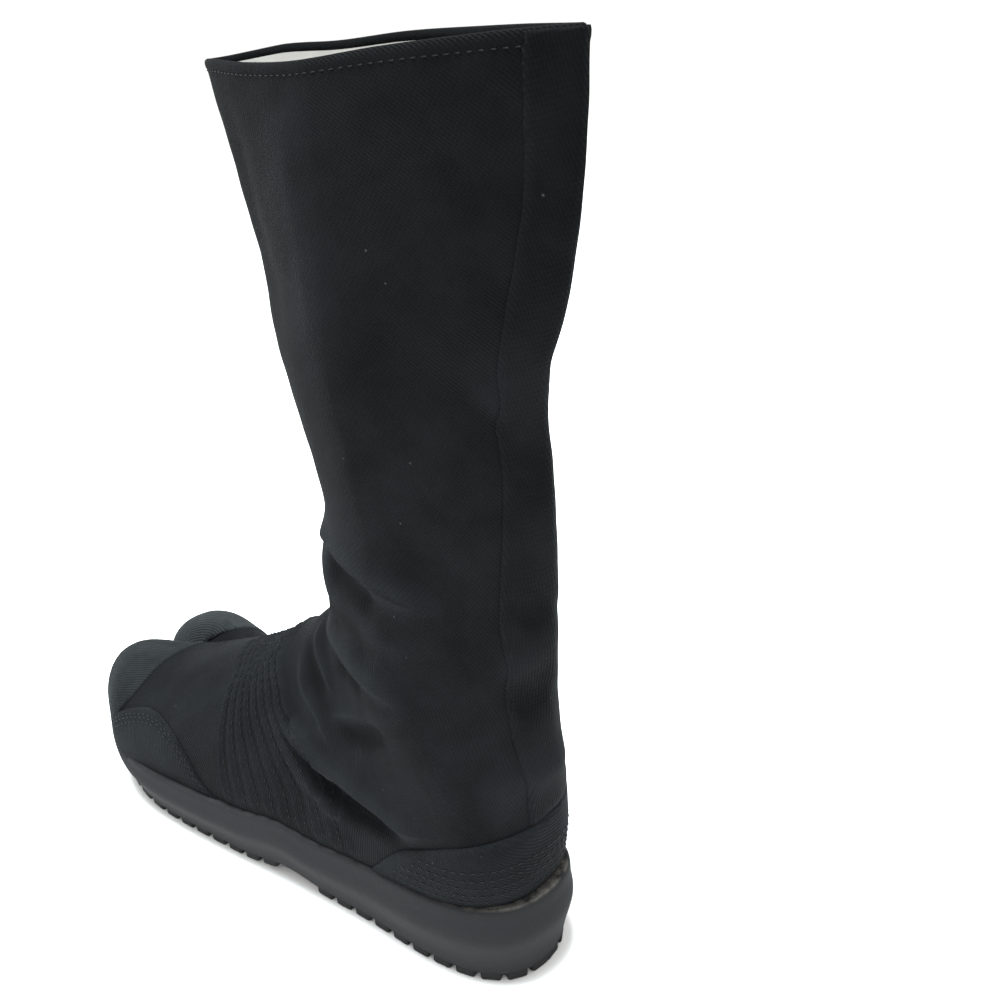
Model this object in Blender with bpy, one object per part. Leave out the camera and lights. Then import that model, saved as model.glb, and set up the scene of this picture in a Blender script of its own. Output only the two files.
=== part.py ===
"""Jika tabi, left boot: a tall split-toe work boot of black twill on a thick foam rubber sole.

Metres, +Z up, toes towards +Y, inner (big toe) side towards +X, little toe side towards -X.
The origin lies on the floor under the middle of the heel.
Shares along the boot run from 0 at the heel's back to 1 at the tip of the big toe.
"""
import math

import bmesh
import bpy
from mathutils import Vector

# Sole, metres
SOLE_LENGTH = 0.276
BALL_WIDTH = 0.090
HEEL_SETBACK = 0.048
SOLE_AT_HEEL = 0.041
SOLE_AT_BALL = 0.0255
TOE_SPRING = 0.014
ARCH_RISE = 0.003
SIDE_TUCK = 0.0042
SIDE_BULGE = 0.0012

# Tread, metres
LUG_HEIGHT = 0.0035
LUG_WIDTH = 0.0078
LUG_INREACH = 0.0080
LUG_PITCH = 0.0112
BAR_PITCH = 0.0135
LUG_ROOT = 0.0015
LUG_DRAFT = 0.0011
LUG_NARROWING = 0.50

# Upper, metres
INSTEP_HEIGHT = 0.128
BOOT_HEIGHT = 0.358
COLLAR_DROP = 0.015
COLLAR_DEPTH = 0.175
COLLAR_WIDTH = 0.053
ANKLE_WIDTH = 0.072
CANVAS_WALL = 0.0022
INSOLE_THICKNESS = 0.003
INSOLE_CLEARANCE = 0.0008

# Overlays, metres
PATCH_THICKNESS = 0.0010
FLAP_THICKNESS = 0.0013
BAND_THICKNESS = 0.0012
FIT_GAP = 0.0003

# How far a cutter runs past what it cuts, metres
SPARE = 0.010

# Mesh fineness
AROUND = 32
SOLE_STATIONS = 22
STATION_SPAN = (-0.08, 1.10)
OUTLINE_STEPS = 2
LUG_STEPS = 8

# Plan outline of the sole: share of SOLE_LENGTH along, share of BALL_WIDTH across
OUTLINE = (
    ("heel back", 0.000, 0.000),
    ("heel back, outer corner", 0.017, -0.190),
    ("heel, outer corner", 0.070, -0.315),
    ("heel, outer side", 0.156, -0.368),
    ("waist, outer side", 0.290, -0.375),
    ("arch, outer side", 0.428, -0.405),
    ("outer side behind the ball", 0.572, -0.450),
    ("ball, outer side", 0.717, -0.484),
    ("little toe", 0.819, -0.478),
    ("fourth toe", 0.900, -0.415),
    ("third toe", 0.957, -0.310),
    ("tip of the four toes", 0.989, -0.165),
    ("second toe", 0.978, -0.040),
    ("split, outer side", 0.938, 0.036),
    ("split, deep outer side", 0.890, 0.062),
    ("crotch of the split", 0.858, 0.088),
    ("split, deep inner side", 0.890, 0.115),
    ("split, inner side", 0.943, 0.140),
    ("big toe, split side", 0.985, 0.200),
    ("tip of the big toe", 1.000, 0.310),
    ("big toe, inner corner", 0.984, 0.420),
    ("big toe, inner side", 0.928, 0.494),
    ("big toe joint", 0.845, 0.515),
    ("ball, inner side", 0.746, 0.508),
    ("inner side behind the ball", 0.627, 0.466),
    ("arch, inner side", 0.500, 0.382),
    ("waist, inner side", 0.373, 0.330),
    ("heel, front inner side", 0.246, 0.333),
    ("heel, inner side", 0.145, 0.360),
    ("heel, inner corner", 0.070, 0.315),
    ("heel back, inner corner", 0.017, 0.190),
)

# Sole thickness: share along, blend from the ball's thickness (0) to the heel's (1)
SOLE_PROFILE = (
    ("heel back", 0.00, 1.00),
    ("heel", 0.14, 0.77),
    ("heel front", 0.28, 0.58),
    ("arch", 0.43, 0.36),
    ("behind the ball", 0.60, 0.19),
    ("ball", 0.77, 0.02),
    ("toes", 0.90, -0.12),
    ("toe tips", 1.00, -0.40),
)
ARCH_START = 0.36
ARCH_END = 0.56
TOE_BREAK = 0.74
TOE_CURVE = 1.8

# Side of the sole: share of its height, push outwards as a share of the bulge (+) or tuck (-)
SIDE_PROFILE = (
    ("under the tread", -0.15, -1.00),
    ("tread edge", 0.10, -0.84),
    ("lower flank", 0.38, -0.26),
    ("swell", 0.62, 1.00),
    ("upper flank", 0.84, 0.30),
    ("top edge", 1.00, -0.06),
    ("over the top edge", 1.15, -0.10),
)

# Stretches of the tread's edge that carry lugs, as shares along the boot
LUG_RUNS = ((-0.10, 0.405), (0.475, 1.10))
BAR_RUNS = ((0.05, 0.38), (0.51, 0.80))
BAR_END_GAP = 0.0175

# Rows of OUTLINE between which the tread's edge carries no lugs
NO_LUGS = ("tip of the four toes", "tip of the big toe")

# Lower sections of the upper, from the four toes back and round the heel.
# ridge: top line, along, height as a share of INSTEP_HEIGHT, across.
# keel: bottom or back line, along, lift over the sole's top as a share of INSTEP_HEIGHT, across.
# outer and inner: widest edges across. Across is in shares of BALL_WIDTH.
# widest: where the section is widest, from keel to ridge. crown and heel: roundness, 2 is an ellipse.
FOOT = (
    # name, ridge, keel, outer, inner, widest, crown, heel
    ("tip", (0.979, 0.285, -0.150), (0.979, 0.042, -0.150), -0.150, -0.150, 0.50, 2.0, 2.0),
    ("toe nails", (0.974, 0.334, -0.150), (0.969, -0.070, -0.150), -0.240, -0.075, 0.46, 2.1, 2.4),
    ("toe front", (0.963, 0.378, -0.145), (0.957, -0.090, -0.155), -0.285, -0.042, 0.42, 2.2, 3.2),
    ("toe backs", (0.948, 0.428, -0.143), (0.941, -0.095, -0.165), -0.338, -0.006, 0.40, 2.2, 4.0),
    ("toe joints", (0.919, 0.478, -0.138), (0.911, -0.095, -0.178), -0.394, 0.024, 0.38, 2.2, 4.4),
    ("toe roots", (0.882, 0.534, -0.125), (0.875, -0.095, -0.180), -0.450, 0.042, 0.37, 2.3, 4.6),
    ("crotch", (0.836, 0.574, -0.100), (0.830, -0.095, -0.150), -0.462, 0.130, 0.36, 2.3, 4.8),
    ("ball front", (0.788, 0.612, -0.065), (0.786, -0.095, -0.080), -0.463, 0.300, 0.35, 2.3, 5.0),
    ("ball", (0.735, 0.648, -0.030), (0.735, -0.095, -0.020), -0.459, 0.425, 0.34, 2.2, 5.0),
    ("behind the ball", (0.680, 0.684, 0.005), (0.680, -0.095, 0.000), -0.450, 0.458, 0.33, 2.2, 5.0),
    ("waist front", (0.622, 0.730, 0.030), (0.610, -0.095, 0.000), -0.432, 0.440, 0.32, 2.2, 5.0),
    ("waist", (0.566, 0.785, 0.050), (0.530, -0.095, 0.000), -0.412, 0.400, 0.32, 2.2, 4.8),
    ("instep front", (0.520, 0.850, 0.060), (0.440, -0.095, -0.005), -0.392, 0.362, 0.32, 2.2, 4.6),
    ("instep", (0.478, 0.915, 0.065), (0.340, -0.095, -0.008), -0.370, 0.345, 0.33, 2.1, 4.4),
    ("instep top", (0.444, 0.980, 0.068), (0.240, -0.095, -0.004), -0.362, 0.345, 0.34, 2.1, 4.0),
    ("bend", (0.425, 1.030, 0.070), (0.150, -0.095, 0.000), -0.362, 0.352, 0.35, 2.0, 3.6),
    ("over the bend", (0.416, 1.080, 0.072), (0.078, -0.085, 0.004), -0.364, 0.358, 0.36, 2.0, 3.1),
    ("ankle front", (0.414, 1.135, 0.074), (0.028, -0.020, 0.008), -0.368, 0.366, 0.38, 1.9, 2.6),
    ("ankle low", (0.415, 1.195, 0.076), (0.013, 0.080, 0.014), -0.374, 0.378, 0.40, 1.9, 2.4),
    ("ankle", (0.417, 1.262, 0.078), (0.013, 0.235, 0.034), -0.380, 0.394, 0.42, 1.8, 2.2),
    ("ankle high", (0.419, 1.338, 0.082), (0.020, 0.400, 0.062), -0.380, 0.408, 0.44, 1.8, 1.9),
)

# Shaft sections: heights as shares of the rise from INSTEP_HEIGHT to BOOT_HEIGHT, front and back as
# shares of COLLAR_DEPTH behind (-) or before (+) the heel's back, across as shares of BALL_WIDTH,
# outer and inner half widths as a blend from COLLAR_WIDTH (0) to ANKLE_WIDTH (1).
SHAFT = (
    # name, front, front height, front across, back, back height, back across, girth, lean, widest, crown, heel
    ("shin root", 0.652, 0.230, 0.090, 0.053, -0.052, 0.085, 1.00, 0.040, 0.45, 1.7, 1.6),
    ("shin low", 0.662, 0.300, 0.095, 0.048, 0.075, 0.100, 1.00, 0.042, 0.46, 1.6, 1.5),
    ("shin", 0.698, 0.372, 0.100, 0.036, 0.226, 0.105, 0.98, 0.046, 0.47, 1.6, 1.45),
    ("calf root", 0.750, 0.452, 0.105, 0.066, 0.365, 0.105, 0.93, 0.052, 0.48, 1.55, 1.4),
    ("calf low", 0.800, 0.548, 0.110, 0.071, 0.500, 0.105, 0.83, 0.058, 0.49, 1.5, 1.4),
    ("calf", 0.838, 0.652, 0.110, 0.010, 0.626, 0.110, 0.62, 0.064, 0.50, 1.5, 1.4),
    ("calf high", 0.882, 0.765, 0.112, -0.019, 0.765, 0.118, 0.38, 0.070, 0.50, 1.5, 1.4),
    ("under the collar", 0.920, 0.861, 0.114, -0.032, 0.891, 0.126, 0.16, 0.075, 0.50, 1.5, 1.4),
    ("collar", 0.943, None, 0.116, -0.035, 1.000, 0.130, 0.00, 0.080, 0.50, 1.5, 1.4),
)

# Big toe pocket, the same columns as FOOT
BIG_TOE = (
    ("tip", (1.003, 0.295, 0.300), (1.003, 0.045, 0.300), 0.300, 0.300, 0.50, 2.0, 2.0),
    ("nail", (0.998, 0.345, 0.300), (0.992, -0.070, 0.305), 0.222, 0.392, 0.46, 2.1, 2.4),
    ("front", (0.986, 0.388, 0.296), (0.980, -0.090, 0.305), 0.182, 0.428, 0.42, 2.2, 3.2),
    ("knuckle front", (0.964, 0.440, 0.290), (0.958, -0.095, 0.305), 0.166, 0.456, 0.40, 2.2, 4.0),
    ("knuckle", (0.932, 0.492, 0.285), (0.928, -0.095, 0.305), 0.156, 0.474, 0.39, 2.2, 4.4),
    ("root", (0.890, 0.548, 0.278), (0.888, -0.095, 0.300), 0.140, 0.488, 0.38, 2.2, 4.6),
    ("crotch", (0.842, 0.586, 0.265), (0.840, -0.095, 0.290), 0.115, 0.493, 0.37, 2.2, 4.8),
    ("joint front", (0.790, 0.614, 0.240), (0.790, -0.095, 0.270), 0.085, 0.490, 0.36, 2.2, 5.0),
    ("joint", (0.735, 0.618, 0.215), (0.735, -0.090, 0.250), 0.050, 0.474, 0.36, 2.2, 5.0),
    ("behind the joint", (0.675, 0.590, 0.195), (0.675, -0.070, 0.230), 0.030, 0.425, 0.37, 2.2, 4.6),
    ("sunk", (0.625, 0.510, 0.180), (0.625, -0.010, 0.210), 0.060, 0.350, 0.40, 2.1, 3.6),
    ("end", (0.595, 0.380, 0.190), (0.595, 0.150, 0.190), 0.190, 0.190, 0.50, 2.0, 2.0),
)

# Region edges seen from the side: along, height as a share of INSTEP_HEIGHT
BAND_OUTER = ((0.262, 0.270), (0.190, 0.437), (0.120, 0.540), (0.065, 0.588), (-0.040, 0.612))
BAND_INNER = ((0.262, 0.300), (0.205, 0.410), (0.140, 0.455), (0.090, 0.468), (-0.040, 0.500))
BAND_TURN = (-0.06, 0.16)
GUARD_EDGE = ((0.535, 0.190), (0.590, 0.255), (0.645, 0.350), (0.690, 0.430), (0.735, 0.482),
              (0.785, 0.480), (0.830, 0.430), (0.872, 0.370))
GUARD_REACH = -0.12

# Rear edges of the toe caps: along at the middle of the boot, and slant
CAP_LINE = (0.819, -0.38)
BIG_CAP_LINE = (0.906, -0.75)

# Back flap, upwards: share of the rise from INSTEP_HEIGHT to BOOT_HEIGHT, back seam across, front edge along
BACK_FLAP = (
    ("point on the heel band", -0.260, -0.085, 0.070),
    ("foot of the flap", -0.190, -0.088, 0.110),
    ("end of the free edge", 0.050, -0.089, 0.140),
    ("ankle", 0.155, -0.090, 0.156),
    ("shin", 0.380, -0.043, 0.176),
    ("calf", 0.600, -0.038, 0.188),
    ("calf high", 0.800, -0.009, 0.184),
    ("over the collar", 1.060, 0.020, 0.176),
)

COLOURS = {
    "sole": (0.070, 0.070, 0.075),
    "canvas": (0.016, 0.017, 0.018),
    "patch": (0.020, 0.022, 0.023),
    "insole": (0.60, 0.58, 0.54),
}


def clear_scene():
    """Remove whatever the open file holds."""
    for thing in list(bpy.data.objects):
        bpy.data.objects.remove(thing, do_unlink=True)


def collection(name):
    """A new collection in the scene."""
    made = bpy.data.collections.new(name)
    bpy.context.scene.collection.children.link(made)
    return made


def material(name, colour, roughness):
    """Principled material of one colour."""
    made = bpy.data.materials.new(name)
    made.use_nodes = True
    shader = made.node_tree.nodes["Principled BSDF"]
    shader.inputs["Base Color"].default_value = (*colour, 1.0)
    shader.inputs["Roughness"].default_value = roughness
    shader.inputs["Metallic"].default_value = 0.0
    return made


def along_to_y(along):
    """Place of a share along the boot."""
    return along * SOLE_LENGTH - HEEL_SETBACK


def hermite(before, start, end, after, part):
    """Smooth curve from start to end that heeds the points on both sides."""
    slope_a = (end - before) / 2
    slope_b = (after - start) / 2
    cube = part ** 3
    square = part ** 2
    return ((2 * cube - 3 * square + 1) * start + (cube - 2 * square + part) * slope_a
            + (3 * square - 2 * cube) * end + (cube - square) * slope_b)


def profile_value(rows, along):
    """Value of a (name, along, value) table at a share along the boot."""
    if along <= rows[0][1]:
        return rows[0][2]
    for index in range(len(rows) - 1):
        start, end = rows[index], rows[index + 1]
        if along <= end[1]:
            before = rows[max(index - 1, 0)]
            after = rows[min(index + 2, len(rows) - 1)]
            span = end[1] - start[1]
            slope_a = (end[2] - before[2]) / (end[1] - before[1]) * span
            slope_b = (after[2] - start[2]) / (after[1] - start[1]) * span
            part = (along - start[1]) / span
            return ((2 * part ** 3 - 3 * part ** 2 + 1) * start[2] + (part ** 3 - 2 * part ** 2 + part) * slope_a
                    + (3 * part ** 2 - 2 * part ** 3) * end[2] + (part ** 3 - part ** 2) * slope_b)
    return rows[-1][2]


def tread_height(y):
    """Height of the tread's lowest points: flat at heel and ball, lifted at the arch and the toes."""
    along = (y + HEEL_SETBACK) / SOLE_LENGTH
    lift = 0.0
    if ARCH_START < along < ARCH_END:
        lift = ARCH_RISE * math.sin(math.pi * (along - ARCH_START) / (ARCH_END - ARCH_START)) ** 2
    if along > TOE_BREAK:
        lift = TOE_SPRING * ((along - TOE_BREAK) / (1 - TOE_BREAK)) ** TOE_CURVE
    return lift


def sole_top(y):
    """Height of the face that the upper stands on."""
    along = (y + HEEL_SETBACK) / SOLE_LENGTH
    blend = profile_value(SOLE_PROFILE, along)
    return tread_height(y) + SOLE_AT_BALL + blend * (SOLE_AT_HEEL - SOLE_AT_BALL)


def outline_points(steps, inset):
    """Closed plan curve through OUTLINE, drawn inwards by inset; outer side first, heel to toe."""
    count = len(OUTLINE)
    curve = []
    for index in range(count):
        rows = [OUTLINE[(index + shift) % count] for shift in (-1, 0, 1, 2)]
        for step in range(steps):
            part = step / steps
            y = along_to_y(hermite(*(row[1] for row in rows), part))
            x = BALL_WIDTH * hermite(*(row[2] for row in rows), part)
            curve.append(Vector((x, y)))
    moved = []
    for index, point in enumerate(curve):
        run = curve[(index + 1) % len(curve)] - curve[index - 1]
        outward = Vector((-run.y, run.x)).normalized()
        moved.append(point - outward * inset)
    return moved


def outline_outward(points, index):
    """Direction away from the sole at a point of its outline."""
    run = points[(index + 1) % len(points)] - points[index - 1]
    return Vector((-run.y, run.x)).normalized()


def add_object(name, mesh, home, finish=None):
    """Put a mesh in the scene as one object."""
    thing = bpy.data.objects.new(name, mesh)
    home.objects.link(thing)
    if finish:
        mesh.materials.clear()
        mesh.materials.append(finish)
    return thing


def mesh_from_rings(name, rings):
    """Loft rings of equally many points; a ring of one point is a pole. Quads share one diagonal."""
    shape = bmesh.new()
    rows = [[shape.verts.new(point) for point in ring] for ring in rings]
    for lower, upper in zip(rows, rows[1:]):
        count = max(len(lower), len(upper))
        for index in range(count):
            after = (index + 1) % count
            if len(lower) == 1:
                shape.faces.new((lower[0], upper[after], upper[index]))
            elif len(upper) == 1:
                shape.faces.new((lower[index], lower[after], upper[0]))
            else:
                shape.faces.new((lower[index], lower[after], upper[index]))
                shape.faces.new((lower[after], upper[after], upper[index]))
    for row in (rows[0], rows[-1]):
        if len(row) > 1:
            middle = shape.verts.new(sum((vert.co for vert in row), Vector()) / len(row))
            for index in range(len(row)):
                shape.faces.new((row[index], row[(index + 1) % len(row)], middle))
    bmesh.ops.recalc_face_normals(shape, faces=shape.faces)
    mesh = bpy.data.meshes.new(name)
    shape.to_mesh(mesh)
    shape.free()
    return mesh


def combine(target, cutter, operation):
    """Apply one exact Boolean and drop the cutter."""
    step = target.modifiers.new(operation, "BOOLEAN")
    step.operation = operation
    step.solver = "EXACT"
    step.object = cutter
    bpy.context.view_layer.update()
    graph = bpy.context.evaluated_depsgraph_get()
    result = bpy.data.meshes.new_from_object(target.evaluated_get(graph))
    target.modifiers.remove(step)
    old = target.data
    target.data = result
    bpy.data.meshes.remove(old)
    bpy.data.objects.remove(cutter, do_unlink=True)


def tidy(thing):
    """Merge what the cuts left within a hundredth of a millimetre and split to triangles."""
    shape = bmesh.new()
    shape.from_mesh(thing.data)
    bmesh.ops.remove_doubles(shape, verts=shape.verts, dist=0.00001)
    bmesh.ops.dissolve_degenerate(shape, edges=shape.edges, dist=0.00001)
    bmesh.ops.triangulate(shape, faces=shape.faces)
    shape.to_mesh(thing.data)
    shape.free()


def sole_stations():
    """Places along the boot where the sole's profile has its lines, past both ends."""
    start, end = STATION_SPAN
    return [along_to_y(start + (end - start) * index / SOLE_STATIONS) for index in range(SOLE_STATIONS + 1)]


def slab(name, low, high, home):
    """Wide plate between two heights that are functions of the place along the boot."""
    half = BALL_WIDTH
    rings = []
    for y in sole_stations():
        bottom = low(y)
        top = high(y)
        rings.append([Vector((-half, y, bottom)), Vector((half, y, bottom)),
                      Vector((half, y, top)), Vector((-half, y, top))])
    return add_object(name, mesh_from_rings(name, rings), home)


def lug_mesh(name, places, narrowing):
    """Lugs as tapered blocks, narrowed to a share of their width at the inner end.

    Each place is (outer end, inward direction, inward reach).
    """
    shape = bmesh.new()
    for end, inward, reach in places:
        block = bmesh.ops.create_cube(shape, size=1.0)["verts"]
        side = Vector((-inward.y, inward.x))
        for vert in block:
            down = vert.co.z < 0
            half_width = LUG_WIDTH / 2 * (narrowing if vert.co.x > 0 else 1.0) - (LUG_DRAFT if down else 0)
            half_reach = reach / 2 - (LUG_DRAFT / 2 if down else 0)
            plan = (end + inward * (reach / 2 + math.copysign(half_reach, vert.co.x))
                    + side * math.copysign(half_width, vert.co.y))
            base = tread_height(plan.y)
            vert.co = Vector((plan.x, plan.y, base if down else base + LUG_HEIGHT + LUG_ROOT))
    mesh = bpy.data.meshes.new(name)
    bmesh.ops.recalc_face_normals(shape, faces=shape.faces)
    shape.to_mesh(mesh)
    shape.free()
    return mesh


def edge_lugs():
    """Lugs round the edge of the tread, at one pitch, leaving out the waist and the split."""
    edge = outline_points(LUG_STEPS, SIDE_TUCK)
    places = []
    travelled = LUG_PITCH / 2
    names = [row[0] for row in OUTLINE]
    split_from, split_to = (names.index(name) / len(OUTLINE) for name in NO_LUGS)
    for index in range(len(edge)):
        travelled += (edge[index] - edge[index - 1]).length
        share = index / len(edge)
        along = (edge[index].y + HEEL_SETBACK) / SOLE_LENGTH
        on_run = any(start <= along <= end for start, end in LUG_RUNS)
        if travelled < LUG_PITCH or split_from < share < split_to or not on_run:
            continue
        travelled -= LUG_PITCH
        if travelled > LUG_PITCH:
            travelled = 0.0
        inward = -outline_outward(edge, index)
        places.append((edge[index] + inward * FIT_GAP, inward, LUG_INREACH))
    return places


def edge_across(points, y, side):
    """Outermost place across of the outline at y, on the side -1 or 1."""
    reach = 0.0
    for index, point in enumerate(points):
        before = points[index - 1]
        if (before.y - y) * (point.y - y) <= 0 and before.y != point.y:
            x = before.x + (point.x - before.x) * (y - before.y) / (point.y - before.y)
            reach = max(reach, side * x)
    return side * reach


def cross_bars():
    """Bars across the tread between the edge lugs, one of them over the origin."""
    edge = outline_points(LUG_STEPS, SIDE_TUCK)
    places = []
    for start, end in BAR_RUNS:
        first = math.ceil(along_to_y(start) / BAR_PITCH)
        last = math.floor(along_to_y(end) / BAR_PITCH)
        for number in range(first, last + 1):
            y = number * BAR_PITCH
            left = edge_across(edge, y, -1) + BAR_END_GAP
            right = edge_across(edge, y, 1) - BAR_END_GAP
            places.append((Vector((left, y)), Vector((1.0, 0.0)), right - left))
    return places


def build_sole(home, cutters, finish):
    """Foam rubber unit: a swelling side wall cut between its top and bottom, with lugs below."""
    rings = []
    plain = outline_points(OUTLINE_STEPS, 0.0)
    for _, level, push in SIDE_PROFILE:
        reach = push * (SIDE_BULGE if push > 0 else SIDE_TUCK)
        ring = []
        for index, point in enumerate(plain):
            plan = point + outline_outward(plain, index) * reach
            foot = tread_height(point.y)
            ring.append(Vector((plan.x, plan.y, foot + level * (sole_top(point.y) - foot))))
        rings.append(ring)
    sole = add_object("sole", mesh_from_rings("sole", rings), home, finish)
    body = slab("sole_body", lambda y: tread_height(y) + LUG_HEIGHT, sole_top, cutters)
    combine(sole, body, "INTERSECT")
    lugs = (("edge_lugs", edge_lugs(), LUG_NARROWING), ("bars", cross_bars(), 1.0))
    for name, places, narrowing in lugs:
        combine(sole, add_object(name, lug_mesh(name, places, narrowing), cutters), "UNION")
    tidy(sole)
    return sole


def foot_rows(table):
    """FOOT or BIG_TOE in metres: ridge, keel, outer, inner, widest, crown, heel."""
    rows = []
    for _, ridge, keel, outer, inner, widest, crown, heel in table:
        top = Vector((ridge[2] * BALL_WIDTH, along_to_y(ridge[0]), ridge[1] * INSTEP_HEIGHT))
        y = along_to_y(keel[0])
        bottom = Vector((keel[2] * BALL_WIDTH, y, sole_top(y) + keel[1] * INSTEP_HEIGHT))
        rows.append((top, bottom, outer * BALL_WIDTH, inner * BALL_WIDTH, widest, crown, heel))
    return rows


def shaft_rows():
    """SHAFT in metres, in the same columns."""
    rise = BOOT_HEIGHT - INSTEP_HEIGHT
    rows = []
    for _, front, up, front_x, back, back_up, back_x, girth, lean, widest, crown, heel in SHAFT:
        height = BOOT_HEIGHT - COLLAR_DROP if up is None else INSTEP_HEIGHT + up * rise
        heel_back = along_to_y(0.0)
        top = Vector((front_x * BALL_WIDTH, heel_back + front * COLLAR_DEPTH, height))
        bottom = Vector((back_x * BALL_WIDTH, heel_back + back * COLLAR_DEPTH, INSTEP_HEIGHT + back_up * rise))
        half = (COLLAR_WIDTH + girth * (ANKLE_WIDTH - COLLAR_WIDTH)) / 2
        middle = lean * BALL_WIDTH
        rows.append((top, bottom, middle - half, middle + half, widest, crown, heel))
    return rows


def section_point(section, turn):
    """Point of a section: turn 0 at the ridge, then the outer side, 0.5 at the keel, the inner side."""
    ridge, keel, outer, inner, widest, crown, heel = section
    angle = 2 * math.pi * turn
    rise = math.cos(angle)
    reach = math.sin(angle)
    form = crown if rise > 0 else heel
    level = widest + math.copysign(abs(rise) ** (2 / form), rise) * ((1 - widest) if rise > 0 else widest)
    spine = keel.lerp(ridge, level)
    middle = keel.lerp(ridge, widest).x
    edge = outer if reach > 0 else inner
    return Vector((spine.x + (edge - middle) * abs(reach) ** (2 / form), spine.y, spine.z))


def sock_grid(rows):
    """Rings of surface points of a lofted form, and the outward direction at each."""
    count = len(rows) - 1
    rings = [[section_point(section, turn / AROUND) for turn in range(AROUND)] for section in rows]
    outward = []
    for index, ring in enumerate(rings):
        ahead = rings[min(index + 1, count)]
        behind = rings[max(index - 1, 0)]
        middle = sum(ring, Vector()) / AROUND
        row = []
        for turn, point in enumerate(ring):
            around = ring[(turn + 1) % AROUND] - ring[turn - 1]
            normal = around.cross(ahead[turn] - behind[turn])
            if normal.length < 1e-12:
                other = ahead if index == 0 else behind
                normal = point - sum(other, Vector()) / AROUND
            elif normal.dot(point - middle) < 0 and index < count * 0.2:
                normal = -normal
            row.append(normal.normalized())
        outward.append(row)
    return rings, outward


def sock(name, grid, offset, home, first=0, last=None, pole_start=True, pole_end=False, rise=0.0):
    """Closed body of a lofted form drawn outwards by offset; rise adds a ring above the last one."""
    rings, outward = grid
    last = len(rings) - 1 if last is None else last
    shape = []
    for index in range(first, last + 1):
        ring = [point + normal * offset for point, normal in zip(rings[index], outward[index])]
        if (pole_start and index == 0) or (pole_end and index == len(rings) - 1):
            ring = [sum(ring, Vector()) / len(ring)]
        shape.append(ring)
    if rise:
        shape.append([point + Vector((0, 0, rise)) for point in shape[-1]])
    return add_object(name, mesh_from_rings(name, shape), home)


def side_prism(name, sides, home):
    """Block seen from the side, below an edge line; sides holds (place across, edge line) in order."""
    rings = []
    for x, edge in sides:
        ring = [Vector((x, along_to_y(along), share * INSTEP_HEIGHT)) for along, share in edge]
        ring.append(Vector((x, ring[-1].y, -SPARE)))
        ring.append(Vector((x, ring[0].y, -SPARE)))
        rings.append(ring)
    return add_object(name, mesh_from_rings(name, rings), home)


def band_prism(name, home):
    """Block below the heel band's top line, which drops from the outer to the inner side."""
    turn_from, turn_to = (share * BALL_WIDTH for share in BAND_TURN)
    sides = ((-BALL_WIDTH, BAND_OUTER), (turn_from, BAND_OUTER), (turn_to, BAND_INNER), (BALL_WIDTH, BAND_INNER))
    return side_prism(name, sides, home)


def underfoot(cutters, name="underfoot"):
    """All that lies below the face that the upper stands on."""
    return slab(name, lambda y: -SPARE, lambda y: sole_top(y) + FIT_GAP, cutters)


def build_insole(foot, toe, home, cutters, finish):
    """Thin foot bed on the sole, cut to the upper's own inside less a clearance."""
    inset = -(CANVAS_WALL + INSOLE_CLEARANCE)
    insole = sock("insole", foot, inset, home, rise=SPARE)
    insole.data.materials.append(finish)
    combine(insole, sock("insole_toe", toe, inset, cutters, pole_end=True), "UNION")
    bed = slab("bed", lambda y: sole_top(y) + FIT_GAP,
               lambda y: sole_top(y) + FIT_GAP + INSOLE_THICKNESS, cutters)
    combine(insole, bed, "INTERSECT")
    tidy(insole)
    return insole


def build_upper(foot, toe, home, cutters, finish):
    """One hollow shell of cloth: the two pockets joined, less their inside, open below and above."""
    upper = sock("upper", foot, 0.0, home)
    upper.data.materials.append(finish)
    combine(upper, sock("toe_out", toe, 0.0, cutters, pole_end=True), "UNION")
    inside = sock("foot_in", foot, -CANVAS_WALL, cutters, rise=SPARE)
    combine(inside, sock("toe_in", toe, -CANVAS_WALL, cutters, pole_end=True), "UNION")
    combine(upper, inside, "DIFFERENCE")
    combine(upper, underfoot(cutters), "DIFFERENCE")
    tidy(upper)
    return upper


def overlay(name, grid, thickness, region, span, home, cutters, finish, clear_of=None):
    """Layer of cloth just off the upper's own surface, kept where the region lies over it.

    span holds its first and last section; clear_of is a grown body that it must stay out of.
    """
    first, last = span
    pole_start = first == 0
    layer = sock(name, grid, FIT_GAP + thickness, home, first, last, pole_start)
    layer.data.materials.append(finish)
    inner_first = first if pole_start else max(first - 1, 0)
    inner_last = min(last + 1, len(grid[0]) - 1)
    under = sock(name + "_under", grid, FIT_GAP, cutters, inner_first, inner_last, pole_start)
    combine(layer, region, "INTERSECT")
    combine(layer, under, "DIFFERENCE")
    combine(layer, underfoot(cutters, name + "_foot"), "DIFFERENCE")
    if clear_of:
        combine(layer, clear_of, "DIFFERENCE")
    tidy(layer)
    return layer


def build_heel_band(foot, home, cutters, finish):
    """Canvas foxing round the heel, higher on the outer side and pointed in front."""
    region = band_prism("band_region", cutters)
    span = (row_of("instep front"), row_of("ankle high") + 1)
    return overlay("heel_band", foot, BAND_THICKNESS, region, span, home, cutters, finish)


def row_of(name):
    """Number of a named row of FOOT."""
    return [row[0] for row in FOOT].index(name)


def build_toe_guard(foot, home, cutters, finish):
    """Stitched patch over the outer side of the forefoot, low at both ends."""
    sides = ((-BALL_WIDTH, GUARD_EDGE), (GUARD_REACH * BALL_WIDTH, GUARD_EDGE))
    region = side_prism("guard_region", sides, cutters)
    span = (row_of("toe backs"), row_of("instep"))
    return overlay("toe_guard", foot, PATCH_THICKNESS, region, span, home, cutters, finish)


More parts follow.
